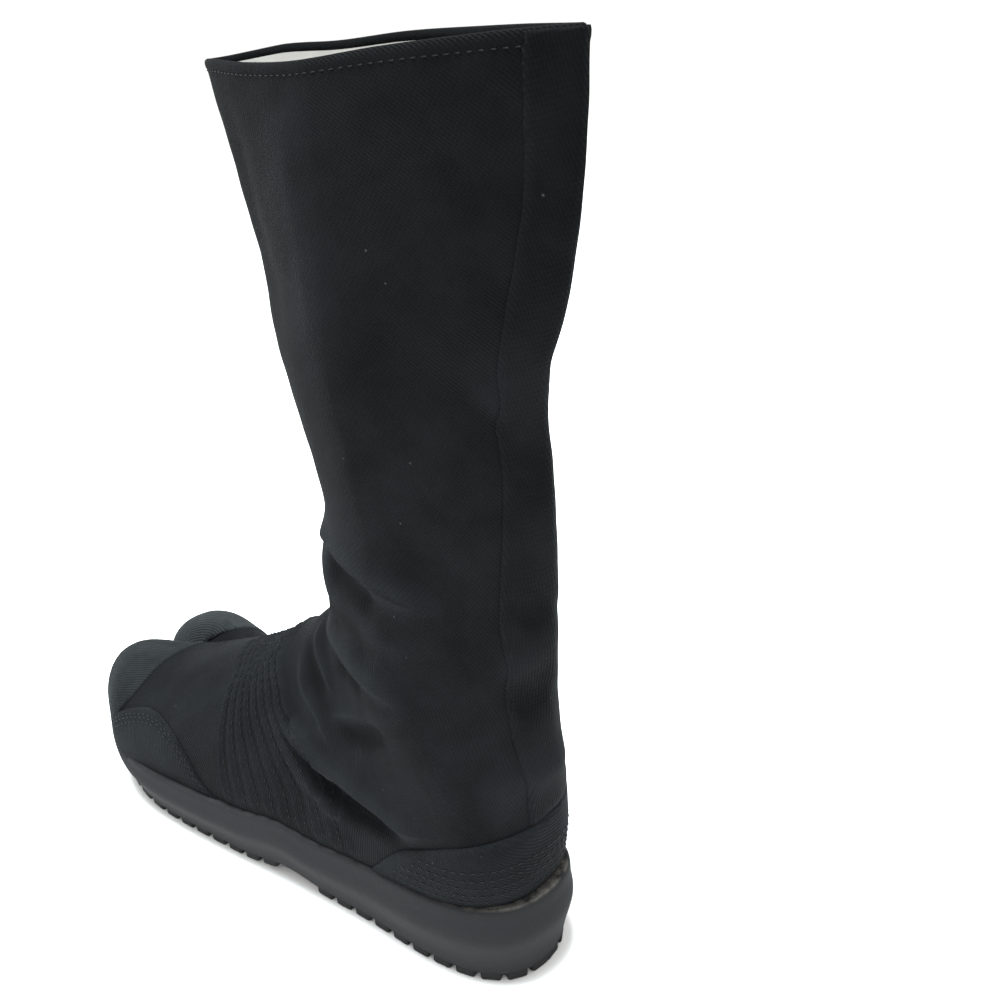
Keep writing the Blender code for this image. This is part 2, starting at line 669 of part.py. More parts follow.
def build_cap(name, grid, line, home, cutters, finish, clear_of=None):
    """Front panel of a toe pocket, from a line across it to its tip."""
    start, slant = line
    far = along_to_y(1.0) + BALL_WIDTH
    rings = []
    for height in (-SPARE, INSTEP_HEIGHT):
        near = [Vector((x, along_to_y(start) + slant * x, height)) for x in (-BALL_WIDTH, BALL_WIDTH)]
        rings.append([*near, Vector((BALL_WIDTH, far, height)), Vector((-BALL_WIDTH, far, height))])
    region = add_object(name + "_region", mesh_from_rings(name + "_region", rings), cutters)
    span = (0, row_of("ball"))
    return overlay(name, grid, PATCH_THICKNESS, region, span, home, cutters, finish, clear_of)


def build_back_flap(foot, home, cutters, finish):
    """Rear inner panel that closes over the front one, from the back seam to its free edge."""
    rise = BOOT_HEIGHT - INSTEP_HEIGHT
    rear = along_to_y(0.0) - BALL_WIDTH
    rings = []
    for _, up, seam, edge in BACK_FLAP:
        height = INSTEP_HEIGHT + up * rise
        left, right, front = seam * BALL_WIDTH, BALL_WIDTH, along_to_y(edge)
        rings.append([Vector((x, y, height)) for x, y in ((left, rear), (right, rear), (right, front), (left, front))])
    region = add_object("flap_region", mesh_from_rings("flap_region", rings), cutters)
    first = row_of("over the bend")
    last = len(foot[0]) - 1
    layer = sock("back_flap", foot, FIT_GAP + FLAP_THICKNESS, home, first, last, False)
    layer.data.materials.append(finish)
    under = sock("flap_under", foot, FIT_GAP, cutters, first - 1, last, False, rise=SPARE)
    combine(layer, region, "INTERSECT")
    combine(layer, under, "DIFFERENCE")
    band = band_prism("flap_band", cutters)
    band.location.z = FIT_GAP
    combine(layer, band, "DIFFERENCE")
    tidy(layer)
    return layer


def shade(things):
    """Smooth shading with the real edges kept sharp."""
    for thing in things:
        thing.data.shade_smooth()
        thing.data.set_sharp_from_angle(angle=math.radians(35))


def build():
    """The whole boot."""
    clear_scene()
    home = collection("jika_tabi")
    cutters = collection("cutters")
    sole_finish = material("foam_rubber", COLOURS["sole"], 0.75)
    canvas = material("black_twill", COLOURS["canvas"], 0.85)
    patch = material("black_canvas", COLOURS["patch"], 0.85)
    bed = material("cotton_bed", COLOURS["insole"], 0.9)
    foot = sock_grid(foot_rows(FOOT) + shaft_rows())
    toe = sock_grid(foot_rows(BIG_TOE))
    things = [
        build_sole(home, cutters, sole_finish),
        build_insole(foot, toe, home, cutters, bed),
        build_upper(foot, toe, home, cutters, canvas),
        build_heel_band(foot, home, cutters, patch),
        build_toe_guard(foot, home, cutters, patch),
        build_cap("toe_cap_four", foot, CAP_LINE, home, cutters, canvas,
                  sock("big_toe_grown", toe, FIT_GAP, cutters, pole_end=True)),
        build_cap("toe_cap_big", toe, BIG_CAP_LINE, home, cutters, canvas),
        build_back_flap(foot, home, cutters, canvas),
    ]
    shade(things)


build()
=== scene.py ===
import math

import bmesh
import bpy
import numpy as np
from mathutils import Matrix, Vector
from mathutils.bvhtree import BVHTree


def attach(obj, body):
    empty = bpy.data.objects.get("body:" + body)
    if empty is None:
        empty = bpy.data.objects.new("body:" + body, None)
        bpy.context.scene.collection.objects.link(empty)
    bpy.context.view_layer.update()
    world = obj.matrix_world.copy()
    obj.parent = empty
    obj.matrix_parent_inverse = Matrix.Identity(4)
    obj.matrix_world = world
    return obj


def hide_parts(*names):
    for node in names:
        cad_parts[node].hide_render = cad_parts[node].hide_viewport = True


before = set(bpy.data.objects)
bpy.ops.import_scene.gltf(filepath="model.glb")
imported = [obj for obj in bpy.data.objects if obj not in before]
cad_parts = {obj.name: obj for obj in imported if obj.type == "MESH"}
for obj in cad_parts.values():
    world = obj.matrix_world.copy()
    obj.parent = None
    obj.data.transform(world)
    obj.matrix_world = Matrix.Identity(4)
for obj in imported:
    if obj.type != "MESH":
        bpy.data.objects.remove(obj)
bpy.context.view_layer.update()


# Camera
# It stands where the photographer stood, behind the outer side of the left boot and a little above
# its collar, with the same lens and the same slight roll.
CAMERA_PLACE = (-0.2781, -0.2629, 0.3682)
CAMERA_YAW = math.radians(49.71)
CAMERA_PITCH = math.radians(24.27)
CAMERA_ROLL = math.radians(-2.055)
CAMERA_LENS = 41.4
CAMERA_FILM = 36.0


def photo_camera():
    """Camera turned by yaw from +Y, tilted down by pitch, then rolled."""
    lens = bpy.data.cameras.new("photo_camera")
    lens.lens = CAMERA_LENS
    lens.sensor_width = CAMERA_FILM
    lens.clip_start = 0.01
    camera = bpy.data.objects.new("photo_camera", lens)
    bpy.context.scene.collection.objects.link(camera)
    ahead = Vector((math.sin(CAMERA_YAW) * math.cos(CAMERA_PITCH),
                    math.cos(CAMERA_YAW) * math.cos(CAMERA_PITCH), -math.sin(CAMERA_PITCH)))
    level = Vector((math.cos(CAMERA_YAW), -math.sin(CAMERA_YAW), 0.0))
    upright = level.cross(ahead)
    right = level * math.cos(CAMERA_ROLL) + upright * math.sin(CAMERA_ROLL)
    up = upright * math.cos(CAMERA_ROLL) - level * math.sin(CAMERA_ROLL)
    turned = Matrix((right, up, -ahead)).transposed().to_4x4()
    camera.matrix_world = Matrix.Translation(CAMERA_PLACE) @ turned
    bpy.context.scene.camera = camera


photo_camera()


# Sole
# One moulded unit of dark foam rubber: a swelling side wall, a flat tread with rounded teeth round
# its edge and bars across, and toes that lift. The upper is cemented on its top.
SOLE_LENGTH = 0.276
BALL_WIDTH = 0.090
HEEL_SETBACK = 0.048
SOLE_AT_HEEL = 0.041
SOLE_AT_BALL = 0.0255
TOE_SPRING = 0.014
SPRING_START = 0.74
ARCH_RISE = 0.003
ARCH_START = 0.36
ARCH_SPAN = 0.20
TREAD_DEPTH = 0.0027
# Place, share along the boot, share of the ball's width across it
SOLE_OUTLINE = (
    ("heel back", 0.000, 0.000),
    ("heel back, outer corner", 0.017, -0.190),
    ("heel, outer corner", 0.070, -0.315),
    ("heel, outer side", 0.156, -0.368),
    ("waist, outer side", 0.290, -0.375),
    ("arch, outer side", 0.428, -0.405),
    ("outer side behind the ball", 0.572, -0.450),
    ("ball, outer side", 0.717, -0.484),
    ("little toe", 0.819, -0.478),
    ("fourth toe", 0.900, -0.415),
    ("third toe", 0.957, -0.310),
    ("tip of the four toes", 0.989, -0.165),
    ("second toe", 0.978, -0.040),
    ("split, outer side", 0.938, 0.036),
    ("split, deep outer side", 0.890, 0.062),
    ("crotch of the split", 0.858, 0.088),
    ("split, deep inner side", 0.890, 0.115),
    ("split, inner side", 0.943, 0.140),
    ("big toe, split side", 0.985, 0.200),
    ("tip of the big toe", 1.000, 0.310),
    ("big toe, inner corner", 0.984, 0.420),
    ("big toe, inner side", 0.928, 0.494),
    ("big toe joint", 0.845, 0.515),
    ("ball, inner side", 0.746, 0.508),
    ("inner side behind the ball", 0.627, 0.466),
    ("arch, inner side", 0.500, 0.382),
    ("waist, inner side", 0.373, 0.330),
    ("heel, front inner side", 0.246, 0.333),
    ("heel, inner side", 0.145, 0.360),
    ("heel, inner corner", 0.070, 0.315),
    ("heel back, inner corner", 0.017, 0.190),
)
# Share along the boot, and blend from the ball's thickness (0) to the heel's (1)
SOLE_THICKNESS = ((0.00, 1.00), (0.14, 0.77), (0.28, 0.58), (0.43, 0.36), (0.60, 0.18), (0.77, -0.03),
                  (0.855, -0.16), (0.895, -0.12), (0.930, 0.10), (0.965, 0.12), (1.00, 0.12))
# Share of the height, and push outwards in metres: tucked tread edge, swell, slightly hollow upper flank
SIDE_WALL = ((0.00, -0.0046), (0.02, -0.0038), (0.06, -0.0032), (0.14, -0.0026), (0.28, -0.0015),
             (0.42, -0.0001), (0.55, 0.0010), (0.66, 0.0011), (0.80, 0.0003), (0.92, 0.0001),
             (0.975, -0.0003), (1.00, -0.0014))
# Points per stretch of the outline, of the side wall, of the top line and of the teeth's line
OUTLINE_STEPS = 12
WALL_STEPS = 3
TOP_STEPS = 8
TOOTH_STEPS = 16
# The filled faces above and below, known by their upright normals, are cut across at this share
SLICE_SHARE = 0.03
LEVEL_FACE = 0.7
# Teeth of the tread: size inwards, along the edge and up, rounded corner, distance in from the sole's edge,
# stretches of the boot that have them, and the stretch of the outline round the split that has none
TOOTH_PITCH = 0.0112
TOOTH_SIZE = (0.0085, 0.0088, 0.0050)
TOOTH_CORNER = 0.0013
TOOTH_INSET = 0.0034
TOOTH_SPANS = ((-0.10, 0.405), (0.475, 1.10))
TOOTHLESS = (0.362, 0.590)
# Bars across the tread: they end short of the teeth's line, measured at points this near to the bar
BAR_PITCH = 0.0135
BAR_CORNER = 0.0010
BAR_END_GAP = 0.0175
BAR_REACH = 0.004
BAR_SPANS = ((0.05, 0.38), (0.51, 0.80))
# Colour of the side wall by its height, painted light and shade: darker at the foot, a painted highlight on
# the swell, painted shade on the upper flank
FOAM_LIGHT_BANDS = ((0.00, (0.0160, 0.0155, 0.0160, 1)), (0.16, (0.0188, 0.0183, 0.0193, 1)),
              (0.50, (0.0217, 0.0212, 0.0226, 1)), (0.64, (0.0160, 0.0160, 0.0174, 1)),
              (0.93, (0.0150, 0.0150, 0.0165, 1)), (1.00, (0.0146, 0.0146, 0.0157, 1)))
# Dried glue shows in a fine line under the cloth, plain behind this place and faint in front of it
GLUE_DEPTH = 0.0005
GLUE_FRONT = -0.014
GLUE_FADE = 0.018
GLUE_FAINT = 0.10
GLUE_COLOUR = (0.088, 0.084, 0.076, 1)
DUST_COLOUR = (0.0476, 0.0470, 0.0465, 1)


def along_to_y(along):
    """Place of a share along the boot, in metres."""
    return along * SOLE_LENGTH - HEEL_SETBACK


def smooth_line(points, steps, closed=False):
    """Points on a smooth curve through a few points."""
    points = np.array(points, float)
    count = len(points)
    spans = count if closed else count - 1
    curve = []
    for index in range(spans):
        picks = [index - 1, index, index + 1, index + 2]
        picks = [pick % count if closed else min(max(pick, 0), count - 1) for pick in picks]
        before, start, end, after = points[picks]
        part = np.linspace(0, 1, steps, endpoint=False)[:, None]
        curve.append(0.5 * (2 * start + (end - before) * part
                            + (2 * before - 5 * start + 4 * end - after) * part ** 2
                            + (3 * start - before - 3 * end + after) * part ** 3))
    if not closed:
        curve.append(points[-1:])
    return np.concatenate(curve)


def y_to_along(y):
    """Share along the boot of a place in metres."""
    return (np.asarray(y, float) + HEEL_SETBACK) / SOLE_LENGTH


def tread_height(y):
    """Lowest points of the tread: flat at heel and ball, lifted at the arch and the toes."""
    along = y_to_along(y)
    arch = ARCH_RISE * np.sin(np.pi * np.clip((along - ARCH_START) / ARCH_SPAN, 0, 1)) ** 2
    return arch + TOE_SPRING * np.clip((along - SPRING_START) / (1 - SPRING_START), 0, None) ** 1.8


def sole_top(y):
    """Height of the face that the upper stands on."""
    curve = smooth_line(SOLE_THICKNESS, TOP_STEPS)
    blend = np.interp(y_to_along(y), curve[:, 0], curve[:, 1])
    return tread_height(y) + SOLE_AT_BALL + blend * (SOLE_AT_HEEL - SOLE_AT_BALL)


def sole_edge(steps):
    """Plan curve of the sole and the direction outwards at each of its points."""
    rows = [(across * BALL_WIDTH, along_to_y(along)) for _, along, across in SOLE_OUTLINE]
    curve = smooth_line(rows, steps, closed=True)
    run = np.roll(curve, -1, axis=0) - np.roll(curve, 1, axis=0)
    outward = np.stack((-run[:, 1], run[:, 0]), axis=1)
    return curve, outward / np.linalg.norm(outward, axis=1)[:, None]


def finish_piece(name, shape, materials, nodes=()):
    """Turn a bmesh into a smooth-shaded piece that rides on the boot and stands for its nodes."""
    mesh = bpy.data.meshes.new(name)
    shape.to_mesh(mesh)
    shape.free()
    mesh.shade_smooth()
    piece = bpy.data.objects.new(name, mesh)
    bpy.context.scene.collection.objects.link(piece)
    for material in materials:
        mesh.materials.append(material)
    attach(piece, "root")
    if nodes:
        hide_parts(*nodes)
    return piece


def reopened(mesh):
    """The mesh as a bmesh again, and the mesh itself dropped."""
    shape = bmesh.new()
    shape.from_mesh(mesh)
    bpy.data.meshes.remove(mesh)
    return shape


def set_inputs(node, values):
    """Set a node's sockets by name or number, each from a value or linked from another node's socket."""
    for name, value in values.items():
        name = name.replace("_", " ")
        socket = node.inputs[int(name) if name.isdigit() else name]
        if isinstance(value, bpy.types.NodeSocket):
            node.id_data.links.new(value, socket)
        else:
            socket.default_value = value


def new_material(name, **settings):
    """A material with its shader's own sockets set, its shader, and a helper that adds a node."""
    material = bpy.data.materials.new(name)
    material.use_nodes = True
    tree = material.node_tree
    shader = tree.nodes["Principled BSDF"]
    set_inputs(shader, settings)

    def add(kind, inputs, output=0, **properties):
        """Add a node with its inputs set, and give one of its outputs."""
        node = tree.nodes.new(kind)
        for key, value in properties.items():
            setattr(node, key, value)
        set_inputs(node, inputs)
        return node.outputs[output]

    return material, shader, add


def noise(add, place, scale, detail, roughness=0.5):
    """Soft noise read at a place."""
    inputs = {"Vector": place, "Scale": scale, "Detail": detail, "Roughness": roughness}
    return add("ShaderNodeTexNoise", inputs)


def between_colours(add, factor, first, second):
    """Mix of two colours."""
    inputs = {"Factor": factor, "A": first, "B": second}
    return add("ShaderNodeMix", inputs, "Result", data_type="RGBA")


def stretched(add, value, low, high, at_low=0.0, at_high=1.0):
    """A value's stretch from low to high turned into another, and held at its ends."""
    return add("ShaderNodeMapRange", {"0": value, "1": low, "2": high, "3": at_low, "4": at_high})


def times_plus(add, value, factor, more, **properties):
    """A value times a factor plus more."""
    return add("ShaderNodeMath", {"0": value, "1": factor, "2": more}, operation="MULTIPLY_ADD", **properties)


def bumped(add, shader, height, strength, distance):
    """Raise the surface by a height."""
    bump = add("ShaderNodeBump", {"Height": height, "Strength": strength, "Distance": distance})
    set_inputs(shader, {"Normal": bump})


def foam_rubber():
    """Dark grey foam: fine pores, cloudy dust, bands of painted light and shade up its side wall and dried
    glue at its top.
    """
    material, shader, add = new_material("foam_rubber", Roughness=0.80, Specular_IOR_Level=0.12)
    place = add("ShaderNodeTexCoord", {}, "Object")
    level = add("ShaderNodeAttribute", {}, "Fac", attribute_name="level")
    cloud = times_plus(add, noise(add, place, 38.0, 4.0, 0.6), 0.22, -0.11)
    height = add("ShaderNodeMath", {"0": level, "1": cloud}, operation="ADD")
    # Painted light and shade: the colour steps with height up the side wall, palest on the swell
    lit_bands = add("ShaderNodeValToRGB", {"0": height})
    ramp = lit_bands.node.color_ramp
    ramp.elements[0].color = FOAM_LIGHT_BANDS[0][1]
    ramp.elements[1].color = FOAM_LIGHT_BANDS[-1][1]
    for place_up, colour in FOAM_LIGHT_BANDS[1:-1]:
        element = ramp.elements.new(place_up)
        element.color = colour
    speck = stretched(add, noise(add, place, 900.0, 3.0, 0.7), 0.62, 0.78, 0.0, 0.55)
    dusty = between_colours(add, speck, lit_bands, DUST_COLOUR)
    glue = add("ShaderNodeAttribute", {}, "Fac", attribute_name="glue")
    broken = stretched(add, noise(add, place, 140.0, 4.0, 0.65), 0.40, 0.64)
    glue_here = add("ShaderNodeMath", {"0": glue, "1": broken}, operation="MULTIPLY")
    glued = between_colours(add, glue_here, dusty, GLUE_COLOUR)
    set_inputs(shader, {"Base Color": glued})
    pores = noise(add, place, 1500.0, 2.0)
    dents = noise(add, place, 120.0, 3.0)
    bumped(add, shader, times_plus(add, dents, 2.5, pores), 0.45, 0.00025)
    return material


def add_float(mesh, name, values):
    """Store one number at each vertex for a material to read."""
    attribute = mesh.attributes.new(name, "FLOAT", "POINT")
    attribute.data.foreach_set("value", np.asarray(values, np.float32))


def vertex_places(mesh):
    """Places of a mesh's vertices, one row each."""
    flat = np.empty(len(mesh.vertices) * 3)
    mesh.vertices.foreach_get("co", flat)
    return flat.reshape(-1, 3)


def grid_numbers(mesh, columns, rows):
    """Column and row number of each vertex of a grid made with size 1."""
    flat = vertex_places(mesh)
    across = np.rint((flat[:, 0] + 1) / 2 * columns).astype(int)
    down = np.rint((flat[:, 1] + 1) / 2 * rows).astype(int)
    return across, down


def build_sole():
    """Side wall from a grid wrapped round the outline, closed below and above, with teeth and bars."""
    curve, outward = sole_edge(OUTLINE_STEPS)
    profile = smooth_line(SIDE_WALL, WALL_STEPS)
    columns = len(curve)
    rows = len(profile) - 1
    shape = bmesh.new()
    bmesh.ops.create_grid(shape, x_segments=columns, y_segments=rows, size=1.0)
    mesh = bpy.data.meshes.new("sole_wall")
    shape.to_mesh(mesh)
    shape.free()
    across, down = grid_numbers(mesh, columns, rows)
    plan = curve[across % columns] + outward[across % columns] * profile[down, 1][:, None]
    y_plain = curve[across % columns][:, 1]
    foot = tread_height(y_plain) + TREAD_DEPTH
    z = foot + profile[down, 0] * (sole_top(y_plain) - foot)
    mesh.vertices.foreach_set("co", np.column_stack((plan, z)).ravel())
    shape = reopened(mesh)
    bmesh.ops.remove_doubles(shape, verts=shape.verts, dist=0.000005)
    rims = [edge for edge in shape.edges if edge.is_boundary]
    bmesh.ops.holes_fill(shape, edges=rims, sides=0)
    for along in np.arange(SLICE_SHARE, 1.0, SLICE_SHARE):
        flat_faces = [face for face in shape.faces if abs(face.normal.z) > LEVEL_FACE]
        touched = list({item for face in flat_faces for item in (*face.verts, *face.edges, face)})
        bmesh.ops.bisect_plane(shape, geom=touched, plane_co=(0, along_to_y(along), 0),
                               plane_no=(0, 1, 0), dist=0.00001)
    bmesh.ops.recalc_face_normals(shape, faces=shape.faces)
    teeth(shape)
    piece = finish_piece("sole_rubber", shape, [foam_rubber()], ["sole"])
    places = vertex_places(piece.data)
    low = tread_height(places[:, 1])
    top = sole_top(places[:, 1])
    add_float(piece.data, "level", np.clip((places[:, 2] - low) / (top - low), 0, 1))
    near_top = np.clip(1.3 - (top - places[:, 2]) / GLUE_DEPTH, 0, 1)
    back = np.clip((GLUE_FRONT - places[:, 1]) / GLUE_FADE, 0, 1)
    add_float(piece.data, "glue", near_top * (GLUE_FAINT + (1 - GLUE_FAINT) * back))
    piece.data.set_sharp_from_angle(angle=math.radians(50))


def block(shape, centre, direction, size, corner):
    """One rounded block of rubber: length along direction, width, height."""
    made = bmesh.new()
    bmesh.ops.create_cube(made, size=1.0)
    bmesh.ops.scale(made, verts=made.verts, vec=size)
    bmesh.ops.bevel(made, geom=made.edges, offset=corner, offset_type="OFFSET", segments=3, profile=0.5,
                    affect="EDGES", material=-1)
    turn = math.atan2(direction[1], direction[0])
    bmesh.ops.rotate(made, verts=made.verts, cent=(0, 0, 0), matrix=Matrix.Rotation(turn, 3, "Z"))
    bmesh.ops.translate(made, verts=made.verts, vec=centre)
    for vert in made.verts:
        vert.co.z += float(tread_height(vert.co.y))
    mesh = bpy.data.meshes.new("block")
    made.to_mesh(mesh)
    made.free()
    shape.from_mesh(mesh)
    bpy.data.meshes.remove(mesh)


def teeth(shape):
    """Rounded teeth at one pitch round the tread's edge, and bars across it between them."""
    length, _, height = TOOTH_SIZE
    curve, outward = sole_edge(TOOTH_STEPS)
    inner = curve - outward * TOOTH_INSET
    steps = np.linalg.norm(inner - np.roll(inner, 1, axis=0), axis=1)
    marks = np.cumsum(steps)
    share = np.linspace(0, 1, len(inner), endpoint=False)
    for mark in np.arange(TOOTH_PITCH / 2, marks[-1], TOOTH_PITCH):
        x, y = (np.interp(mark, marks, inner[:, axis]) for axis in (0, 1))
        inward = [-np.interp(mark, marks, outward[:, axis]) for axis in (0, 1)]
        on_span = any(first <= y_to_along(y) <= last for first, last in TOOTH_SPANS)
        if on_span and not TOOTHLESS[0] < np.interp(mark, marks, share) < TOOTHLESS[1]:
            middle = (x + inward[0] * length / 2, y + inward[1] * length / 2, height / 2)
            block(shape, middle, inward, TOOTH_SIZE, TOOTH_CORNER)
    for start, end in BAR_SPANS:
        first = math.ceil(along_to_y(start) / BAR_PITCH)
        last = math.floor(along_to_y(end) / BAR_PITCH)
        for number in range(first, last + 1):
            y = number * BAR_PITCH
            near = inner[np.abs(inner[:, 1] - y) < BAR_REACH]
            left = near[:, 0].min() + BAR_END_GAP
            right = near[:, 0].max() - BAR_END_GAP
            size = (right - left, *TOOTH_SIZE[1:])
            block(shape, ((left + right) / 2, y, height / 2), (1, 0), size, BAR_CORNER)


build_sole()


# Insole
# A flat bed of cotton over foam, cut to the inside of the upper and laid loose on the sole. The solid
# from the frame is the visible piece, and only its cloth is made here.


def cotton(name, colour, scale):
    """Off-white plain weave with a soft nap."""
    material, shader, add = new_material(name, Roughness=0.9, Sheen_Weight=0.2)
    place = add("ShaderNodeTexCoord", {}, "Object")
    shade = tuple(0.80 * part for part in colour)
    tint = between_colours(add, noise(add, place, 140.0, 5.0), (*shade, 1), (*colour, 1))
    set_inputs(shader, {"Base Color": tint})
    weave = add("ShaderNodeTexChecker", {"Vector": place, "Scale": scale}, "Fac")
    bumped(add, shader, weave, 0.3, 0.0002)
    return material


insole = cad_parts["insole"]
insole.data.materials.clear()
insole.data.materials.append(cotton("cotton_bed", (0.70, 0.68, 0.63), 900.0))


# Upper
# Black cotton twill sewn to a pale cotton lining and cemented inside the sole's edge, one shell from the
# four toes to the collar. Pin tucks cross the vamp, and the loose shaft has slumped in folds at the ankle.
INSTEP_HEIGHT = 0.128
BOOT_HEIGHT = 0.358
COLLAR_DROP = 0.015
COLLAR_DEPTH = 0.175
COLLAR_WIDTH = 0.053
ANKLE_WIDTH = 0.072
CANVAS_WALL = 0.0022
# Sections of the foot: name, ridge and keel as shares (along, height or lift, across), outer and inner
# edge, height of the widest place, roundness above it and below it
FOOT = (
    ("tip", (0.979, 0.285, -0.150), (0.979, 0.042, -0.150), -0.150, -0.150, 0.50, 2.0, 2.0),
    ("toe nails", (0.974, 0.392, -0.150), (0.969, -0.070, -0.150), -0.240, -0.075, 0.46, 2.1, 2.4),
    ("toe front", (0.963, 0.448, -0.145), (0.957, -0.090, -0.155), -0.285, -0.042, 0.42, 2.2, 3.2),
    ("toe backs", (0.948, 0.494, -0.143), (0.941, -0.095, -0.165), -0.338, -0.006, 0.40, 2.2, 4.0),
    ("toe joints", (0.919, 0.530, -0.138), (0.911, -0.095, -0.178), -0.394, 0.024, 0.38, 2.2, 4.4),
    ("toe roots", (0.882, 0.551, -0.125), (0.875, -0.095, -0.180), -0.450, 0.042, 0.37, 2.3, 4.6),
    ("crotch", (0.836, 0.562, -0.100), (0.830, -0.095, -0.150), -0.462, 0.130, 0.36, 2.3, 4.8),
    ("ball front", (0.788, 0.574, -0.065), (0.786, -0.095, -0.080), -0.463, 0.300, 0.35, 2.3, 5.0),
    ("ball", (0.735, 0.614, -0.030), (0.735, -0.095, -0.020), -0.459, 0.425, 0.34, 2.2, 5.0),
    ("behind the ball", (0.680, 0.660, 0.005), (0.680, -0.095, 0.000), -0.450, 0.458, 0.33, 2.2, 5.0),
    ("waist front", (0.622, 0.712, 0.030), (0.610, -0.095, 0.000), -0.432, 0.440, 0.32, 2.2, 5.0),
    ("waist", (0.566, 0.778, 0.050), (0.530, -0.095, 0.000), -0.412, 0.400, 0.32, 2.2, 4.8),
    ("instep front", (0.520, 0.850, 0.060), (0.440, -0.095, -0.005), -0.392, 0.362, 0.32, 2.2, 4.6),
    ("instep", (0.478, 0.915, 0.065), (0.340, -0.095, -0.008), -0.370, 0.345, 0.33, 2.1, 4.4),
    ("instep top", (0.444, 0.980, 0.068), (0.240, -0.095, -0.004), -0.362, 0.345, 0.34, 2.1, 4.0),
    ("bend", (0.416, 1.030, 0.070), (0.150, -0.095, 0.000), -0.362, 0.352, 0.35, 2.0, 3.6),
    ("over the bend", (0.406, 1.080, 0.072), (0.078, -0.085, 0.004), -0.364, 0.358, 0.36, 2.0, 3.1),
    ("ankle front", (0.405, 1.135, 0.074), (0.028, -0.020, 0.008), -0.368, 0.366, 0.38, 1.9, 2.6),
    ("ankle low", (0.407, 1.195, 0.076), (0.013, 0.080, 0.014), -0.374, 0.378, 0.40, 1.9, 2.4),
    ("ankle", (0.409, 1.262, 0.078), (0.013, 0.235, 0.034), -0.380, 0.394, 0.42, 1.8, 2.2),
    ("ankle high", (0.411, 1.338, 0.082), (0.020, 0.400, 0.062), -0.380, 0.408, 0.44, 1.8, 1.9),
)
# Sections of the shaft: name, front (along, height, across), back (along, height, across), share of the
# ankle's width over the collar's, place of the middle, widest place, roundness in front and behind
SHAFT = (
    ("shin root", 0.634, 0.230, 0.090, 0.040, -0.052, 0.085, 1.00, 0.040, 0.45, 1.7, 1.6),
    ("shin low", 0.642, 0.300, 0.095, 0.038, 0.075, 0.100, 1.00, 0.042, 0.46, 1.6, 1.5),
    ("shin", 0.677, 0.372, 0.100, 0.034, 0.226, 0.105, 0.98, 0.046, 0.47, 1.6, 1.45),
    ("calf root", 0.733, 0.452, 0.105, 0.037, 0.365, 0.105, 0.93, 0.052, 0.48, 1.55, 1.4),
    ("calf low", 0.789, 0.548, 0.110, 0.054, 0.500, 0.105, 0.83, 0.058, 0.49, 1.5, 1.4),
    ("calf", 0.820, 0.652, 0.110, 0.002, 0.626, 0.110, 0.62, 0.064, 0.50, 1.5, 1.4),
    ("calf high", 0.872, 0.765, 0.112, -0.030, 0.765, 0.118, 0.38, 0.070, 0.50, 1.5, 1.4),
    ("under the collar", 0.916, 0.861, 0.114, -0.042, 0.891, 0.126, 0.16, 0.075, 0.50, 1.5, 1.4),
    ("collar", 0.943, None, 0.116, -0.046, 1.000, 0.130, 0.00, 0.080, 0.50, 1.5, 1.4),
)
